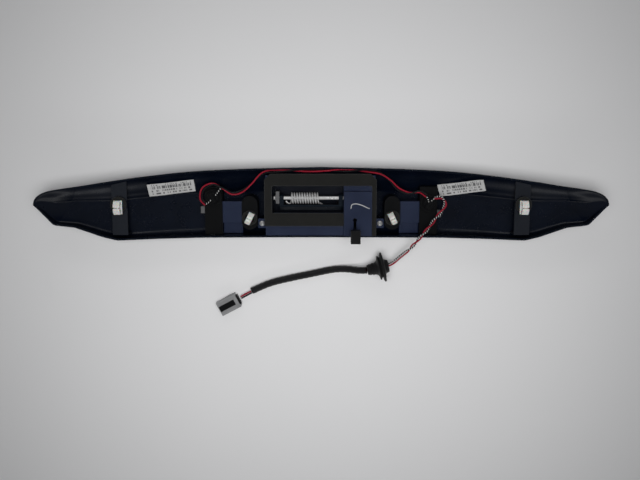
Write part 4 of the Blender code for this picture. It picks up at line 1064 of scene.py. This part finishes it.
def screws():
    """Pan-head screws with a cross recess and a rolled thread."""
    radius, head, shank = 0.0020, 0.0048, 0.0135
    profile = [(0, 0.0030), (head * 0.35, 0.0029), (head * 0.7, 0.0024), (head * 0.95, 0.0013),
               (head, 0.0006), (head * 0.97, 0), (radius, 0)]
    for thread in range(12):
        z = -0.0014 - thread * 0.0009
        profile += [(radius * 0.86, z), (radius, z - 0.0003)]
    profile += [(radius * 0.5, -0.0130), (0, -shank)]
    screw = from_shape("screw", turned(profile, sides=28))
    arm, slim = 0.0026, 0.0005
    cross = [block((-x, -y, 0.0012), (x, y, 0.005)) for x, y in ((arm, slim), (slim, arm))]
    screw = sliced(screw, *cross)
    as_pair("pan_head_screws", screw, "housing_screw", ZINC, rise=shank, turns=(0.35, -0.9))


# ---------------------------------------------------------------- handle mechanism

# The axis that the handle turns about
PIN_Y, PIN_Z = 0.0086, 0.034


def shaft():
    """The steel rod, with chamfered ends and a groove for each clip."""
    low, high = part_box("handle_shaft")
    radius, long = (high.z - low.z) / 2, high.x - low.x
    neck, lip = radius * 0.9, 0.0006
    grooves = [(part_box("shaft_clip_" + side)[0].x - low.x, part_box("shaft_clip_" + side)[1].x - low.x)
               for side in ("left", "right")]
    profile = [(0, 0), (radius - lip, 0), (radius, lip)]
    for start, end in grooves:
        profile += [(radius, start - 0.0001), (neck, start), (neck, end), (radius, end + 0.0001)]
    profile += [(radius, long - lip), (radius - lip, long), (0, long)]
    rod = from_shape("steel_shaft", turned(profile, (low.x, PIN_Y, PIN_Z), (1, 0, 0), 40))
    dressed(rod, STEEL, "handle", ["handle_shaft"])


def spring():
    """The torsion spring, wound from one wire whose two ends reach the housing and the paddle."""
    left, right = -0.052, -0.004
    radius, wire, turns = 0.0089, 0.0011, 11
    side = PIN_Y - radius
    points = [Vector((left - 0.0075, side + 0.0050, PIN_Z + 0.0095)),
              Vector((left - 0.0052, side + 0.0020, PIN_Z + 0.0088)),
              Vector((left - 0.0025, side + 0.0002, PIN_Z + 0.0050))]
    steps = turns * 28
    for step in range(steps + 1):
        share = step / steps
        angle = math.pi + share * turns * 2 * math.pi
        points.append(Vector((left + (right - left) * share, PIN_Y + radius * math.cos(angle),
                              PIN_Z + radius * math.sin(angle))))
    points += [Vector((right + 0.0022, side + 0.0001, PIN_Z - 0.0030)),
               Vector((right + 0.0048, -0.0022, PIN_Z - 0.0075)),
               Vector((right + 0.0060, -0.0029, PIN_Z - 0.0095))]
    coil = skinned("wound_spring", smooth_line(points, 0.0010), wire, STEEL)
    dressed(coil, STEEL, stands_for=["return_spring"], crease=60)


def keeper_wire():
    """The bent wire on the tower, with a curl at its left foot."""
    low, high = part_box("wire_hook")
    radius = 0.0008
    z = high.z - radius
    left, right, foot = low.x + radius, high.x - radius, low.y + radius
    points = [(left, foot, low.z), (left, foot, z - 0.0012), (left + 0.0001, foot + 0.0010, z),
              (left + 0.0004, foot + 0.004, z), (left + 0.0020, -0.0003, z), (left + 0.0060, 0.0008, z),
              (left + 0.0114, 0.0006, z), (left + 0.0200, -0.0022, z), (right - 0.0030, foot + 0.0010, z),
              (right - 0.0006, foot + 0.0002, z - 0.0002), (right, foot, z - 0.0014), (right, foot, low.z)]
    wire = skinned("keeper_wire", smooth_line(points, 0.0006), radius, STEEL)
    dressed(wire, STEEL, stands_for=["wire_hook"], crease=60)


# ---------------------------------------------------------------- lamps

def sockets():
    """Twist-in bulb sockets: a domed cap with a ring of grip ribs, a finger bar, lugs and a neck."""
    neck = 0.0050
    profile = [(0, 0.0088), (0.0070, 0.0088), (0.0090, 0.0084), (0.0098, 0.0074), (0.0100, 0.0042),
               (0.0143, 0.0042), (0.0150, 0.0036), (0.0150, 0.0024), (0.0144, 0.0018), (0.0102, 0.0018),
               (0.0102, -0.0042), (0.0096, -neck), (0, -neck)]
    body = from_shape("socket", turned(profile, sides=48))
    bar = block((-0.0020, -0.0092, 0.0070), (0.0020, 0.0092, 0.0120), 0.0007)
    ridge = [(0.0062, 0.0080), (0.0062, 0.0095), (0.0072, 0.0095), (0.0072, 0.0080), (0.0062, 0.0080)]
    rim = turned(ridge, sides=36)
    body = sliced(body, bar, rim, operation="UNION")
    rib = taken(from_shape("rib", block((-0.0011, -0.0006, -0.0020), (0.0010, 0.0006, 0.0020), 0.0003)))
    ribs = grown("ribs", rib, RING, DARK, Count=22, Radius=0.0102, Height=0.0062)
    lugs = grown("lugs", rib, RING, DARK, Count=3, Radius=0.0144, Height=0.0030)
    body = joined([body, ribs, lugs])
    as_pair("twist_sockets", body, "bulb_socket", DARK, rise=neck, turns=(0.5, -0.7))


def bulbs():
    """Wedge bulbs: a pinched glass base that opens into a rounded envelope."""
    profile = [(0, 0), (0.0018, 0), (0.0026, -0.0006), (0.0030, -0.0020), (0.0040, -0.0038),
               (0.0045, -0.0058), (0.0044, -0.0080), (0.0038, -0.0102), (0.0026, -0.0117),
               (0.0012, -0.0124), (0, -0.0125)]
    glass = from_shape("bulb", turned(profile, sides=28))
    as_pair("wedge_bulbs", glass, "lamp_bulb", GLASS, "high", crease=60)


def lenses():
    """Small clear lenses with upright flutes on their outer face."""
    low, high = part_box("lamp_lens_left")
    half_x, half_y, tall = (high.x - low.x) / 2, (high.y - low.y) / 2, high.z - low.z
    flutes, flute_depth = 9, 0.0006
    steps = flutes * 6
    outline = [(half_x, half_y), (-half_x, half_y)]
    for step in range(steps + 1):
        share = step / steps
        swell = abs(math.sin(share * flutes * math.pi)) * flute_depth
        outline.append((-half_x + 2 * half_x * share, -half_y + flute_depth - swell))
    lens = rounded_off(from_shape("lens", prism(outline, 0, tall, "Z")), 0.0003, angle=60)
    as_pair("fluted_lenses", lens, "lamp_lens", CLEAR)


# ---------------------------------------------------------------- labels

LABEL_COLUMNS, LABEL_ROWS = 40, 12
LABEL_THICK = 0.0003


def paper_label(side, curl):
    """A printed label stuck to the slope, with a faint bow and one corner that lifts by curl."""
    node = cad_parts["paper_label_" + side]
    seen = {tuple(round(c, 6) for c in v.co) for v in node.data.vertices}
    corners = sorted((Vector(c) for c in seen), key=lambda c: c.x)
    left_end, right_end = corners[:4], corners[4:]

    def centre(points):
        return sum(points, Vector()) / len(points)

    along = centre(right_end) - centre(left_end)
    uphill = Vector((0, 0, 1)).cross(along)
    by_height = sorted(corners, key=lambda c: c.dot(uphill))
    across = centre(by_height[4:]) - centre(by_height[:4])
    normal = along.cross(across).normalized()
    shape = bmesh.new()
    lay = shape.loops.layers.uv.new("UVMap")
    middle_point = centre(corners)
    rows_made = []
    for j in range(LABEL_ROWS + 1):
        line = []
        for i in range(LABEL_COLUMNS + 1):
            u, v = i / LABEL_COLUMNS, j / LABEL_ROWS
            bow = 0.0005 * math.sin(u * math.pi) + 0.0003 * math.sin(7 * u + 4 * v)
            lift = curl * max(0.0, u - 0.72) ** 2 * max(0.0, v - 0.3) * 18
            point = middle_point + along * (u - 0.5) + across * (v - 0.5) + normal * (bow + lift)
            line.append((shape.verts.new(point), u, v))
        rows_made.append(line)
    for j in range(LABEL_ROWS):
        for i in range(LABEL_COLUMNS):
            quad = [rows_made[j][i], rows_made[j][i + 1], rows_made[j + 1][i + 1], rows_made[j + 1][i]]
            face = shape.faces.new([c[0] for c in quad])
            for loop, (_vert, u, v) in zip(face.loops, quad):
                loop[lay].uv = (u, v)
    shape.normal_update()
    label = from_shape("printed_label_" + side, shape)
    thick = label.modifiers.new("thick", "SOLIDIFY")
    thick.thickness = LABEL_THICK
    thick.offset = -1
    label = settled(label)
    dressed(label, PAPER, stands_for=["paper_label_" + side], crease=60)


# ---------------------------------------------------------------- grommet, plug and small leads

GROMMET_CENTRE = (0.108, -0.113, 0.0264)
GROMMET_AXIS = (-0.978, -0.21, 0)


def rubber_grommet():
    """The harness grommet: wide sealing flange with ridges, groove, smaller flange and a ribbed cone."""
    profile = [(0.0067, 0.0275), (0.0080, 0.0277), (0.0088, 0.0270), (0.0091, 0.0245), (0.0097, 0.0242),
               (0.0099, 0.0222), (0.0093, 0.0216), (0.0098, 0.0195), (0.0106, 0.0192), (0.0108, 0.0170),
               (0.0103, 0.0164), (0.0112, 0.0130), (0.0126, 0.0102), (0.0160, 0.0088), (0.0205, 0.0081),
               (0.0214, 0.0074), (0.0214, 0.0062), (0.0206, 0.0055), (0.0184, 0.0047), (0.0180, 0.0040),
               (0.0180, 0.0028), (0.0186, 0.0022), (0.0218, 0.0020), (0.0226, 0.0024), (0.0234, 0.0019),
               (0.0252, 0.0017), (0.0259, 0.0009), (0.0259, -0.0009), (0.0252, -0.0018), (0.0215, -0.0021),
               (0.0140, -0.0032), (0.0124, -0.0042), (0.0113, -0.0075), (0.0106, -0.0096), (0.0098, -0.0100),
               (0.0067, -0.0100), (0.0067, 0.0275)]
    piece = from_shape("rubber_grommet", turned(profile, GROMMET_CENTRE, GROMMET_AXIS, 64))
    dressed(piece, RUBBER, stands_for=["grommet"])


PLUG_TURN = math.radians(208)


def plug_extras():
    """Grip ribs and two guide rails for the plug's body, turned as it lies."""
    low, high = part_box("connector_housing")
    turn = Matrix.Rotation(PLUG_TURN, 4, "Z")
    place = Matrix.Translation(((low.x + high.x) / 2, (low.y + high.y) / 2, low.z)) @ turn
    shapes = []
    for y in (-0.013, 0.013):
        for x in (-0.0135, -0.0105, -0.0075):
            shapes.append(block((x, y - 0.0006, 0.003), (x + 0.0014, y + 0.0006, 0.0118)))
    for y in (-0.0092, 0.0076):
        shapes.append(block((-0.0160, y, 0.0145), (0.0175, y + 0.0016, 0.0160)))
    for shape in shapes:
        bmesh.ops.transform(shape, matrix=place, verts=shape.verts)
    return shapes


LEAD_RADIUS = 0.0011
LEAD_ROUTES = (
    ((-0.1960, -0.0010, 0.0462), (-0.1925, 0.0010, 0.0458), (-0.1890, 0.0042, 0.0445),
     (-0.1868, 0.0062, 0.0432)),
    ((-0.1700, 0.0264, 0.0447), (-0.1735, 0.0215, 0.0462), (-0.1775, 0.0165, 0.0450),
     (-0.1800, 0.0135, 0.0432)),
    ((0.1795, 0.0125, 0.0455), (0.1812, 0.0085, 0.0462), (0.1828, 0.0050, 0.0448),
     (0.1836, 0.0022, 0.0430)),
    ((0.1925, 0.0090, 0.0465), (0.1900, 0.0072, 0.0468), (0.1878, 0.0045, 0.0452),
     (0.1862, 0.0020, 0.0432)),
)


def socket_leads():
    """The short leads between the sockets and the coloured wires, with a pale winding stripe of painted
    highlight.
    """
    leads = [skinned("lead", smooth_line(route, 0.0008), LEAD_RADIUS, GLINT_STRIPED) for route in LEAD_ROUTES]
    dressed(joined(leads), GLINT_STRIPED, crease=60).name = "socket_leads"


# ---------------------------------------------------------------- everything together

BODY_OF = {"handle_paddle": "handle", "shaft_clip_left": "handle", "shaft_clip_right": "handle",
           "lever_arm": "handle", "lever_cap": "handle"}
# Finish, slot, edge rounding and the CAD nodes that have them
MOULDINGS = (
    (SHEENED_SHADED_FRAME_PAINT, "body_paint", 0.0008, ("handle_housing",)),
    (SHEENED_BRACKET, "body_paint", 0.0008, ("end_bracket_left", "end_bracket_right")),
    (SHEENED_HOUSING_PAINT, "body_paint", 0.0008, ("lamp_pocket_left", "lamp_pocket_right")),
    (PADDLE, "dark_plastic", 0.0005, ("handle_paddle",)),
    (DARK, "dark_plastic", 0.0004, ("lever_arm", "connector_insert", "connector_latch")),
    (DARK, "dark_plastic", 0.0009, ("clip_tower_left", "clip_tower_right", "lamp_housing_left",
                                    "lamp_housing_right")),
    (GREY, "grey_plastic", 0.0005, ("pivot_bracket", "wire_clip_left", "wire_clip_right")),
    (RUBBER, "black_rubber", 0.0006, ("lever_cap", "paddle_stop_left", "paddle_stop_right",
                                      "connector_seal")),
    (ZINC, "bright_steel", 0.0002, ("shaft_clip_left", "shaft_clip_right")),
)


def floor():
    """The plain surface that everything lies on."""
    shape = bmesh.new()
    bmesh.ops.create_grid(shape, x_segments=1, y_segments=1, size=FLOOR_HALF)
    bmesh.ops.translate(shape, vec=(0, 0, -FLOOR_DROP), verts=shape.verts)
    made = from_shape("floor", shape)
    made.data.materials.append(floor_paper())


camera()
room()
floor()
garnish_shell()
for finish, slot, edge, nodes in MOULDINGS:
    for node in nodes:
        moulding(node, finish, slot, edge, BODY_OF.get(node, "root"))
plug = moulding("connector_housing", PLUG_GREY, "grey_plastic", 0.0005, "root", *plug_extras())
plug.name = "plug_body"
foam_gasket()
foam_rings("inner_foam_rings", "inner_seal")
foam_rings("end_foam_rings", "end_seal")
push_clips()
screws()
shaft()
spring()
keeper_wire()
sockets()
bulbs()
lenses()
paper_label("left", 0.0010)
paper_label("right", 0.0022)
rubber_grommet()
socket_leads()
link_wires()
feed_wires()
plug_wires()
taped_sleeve()
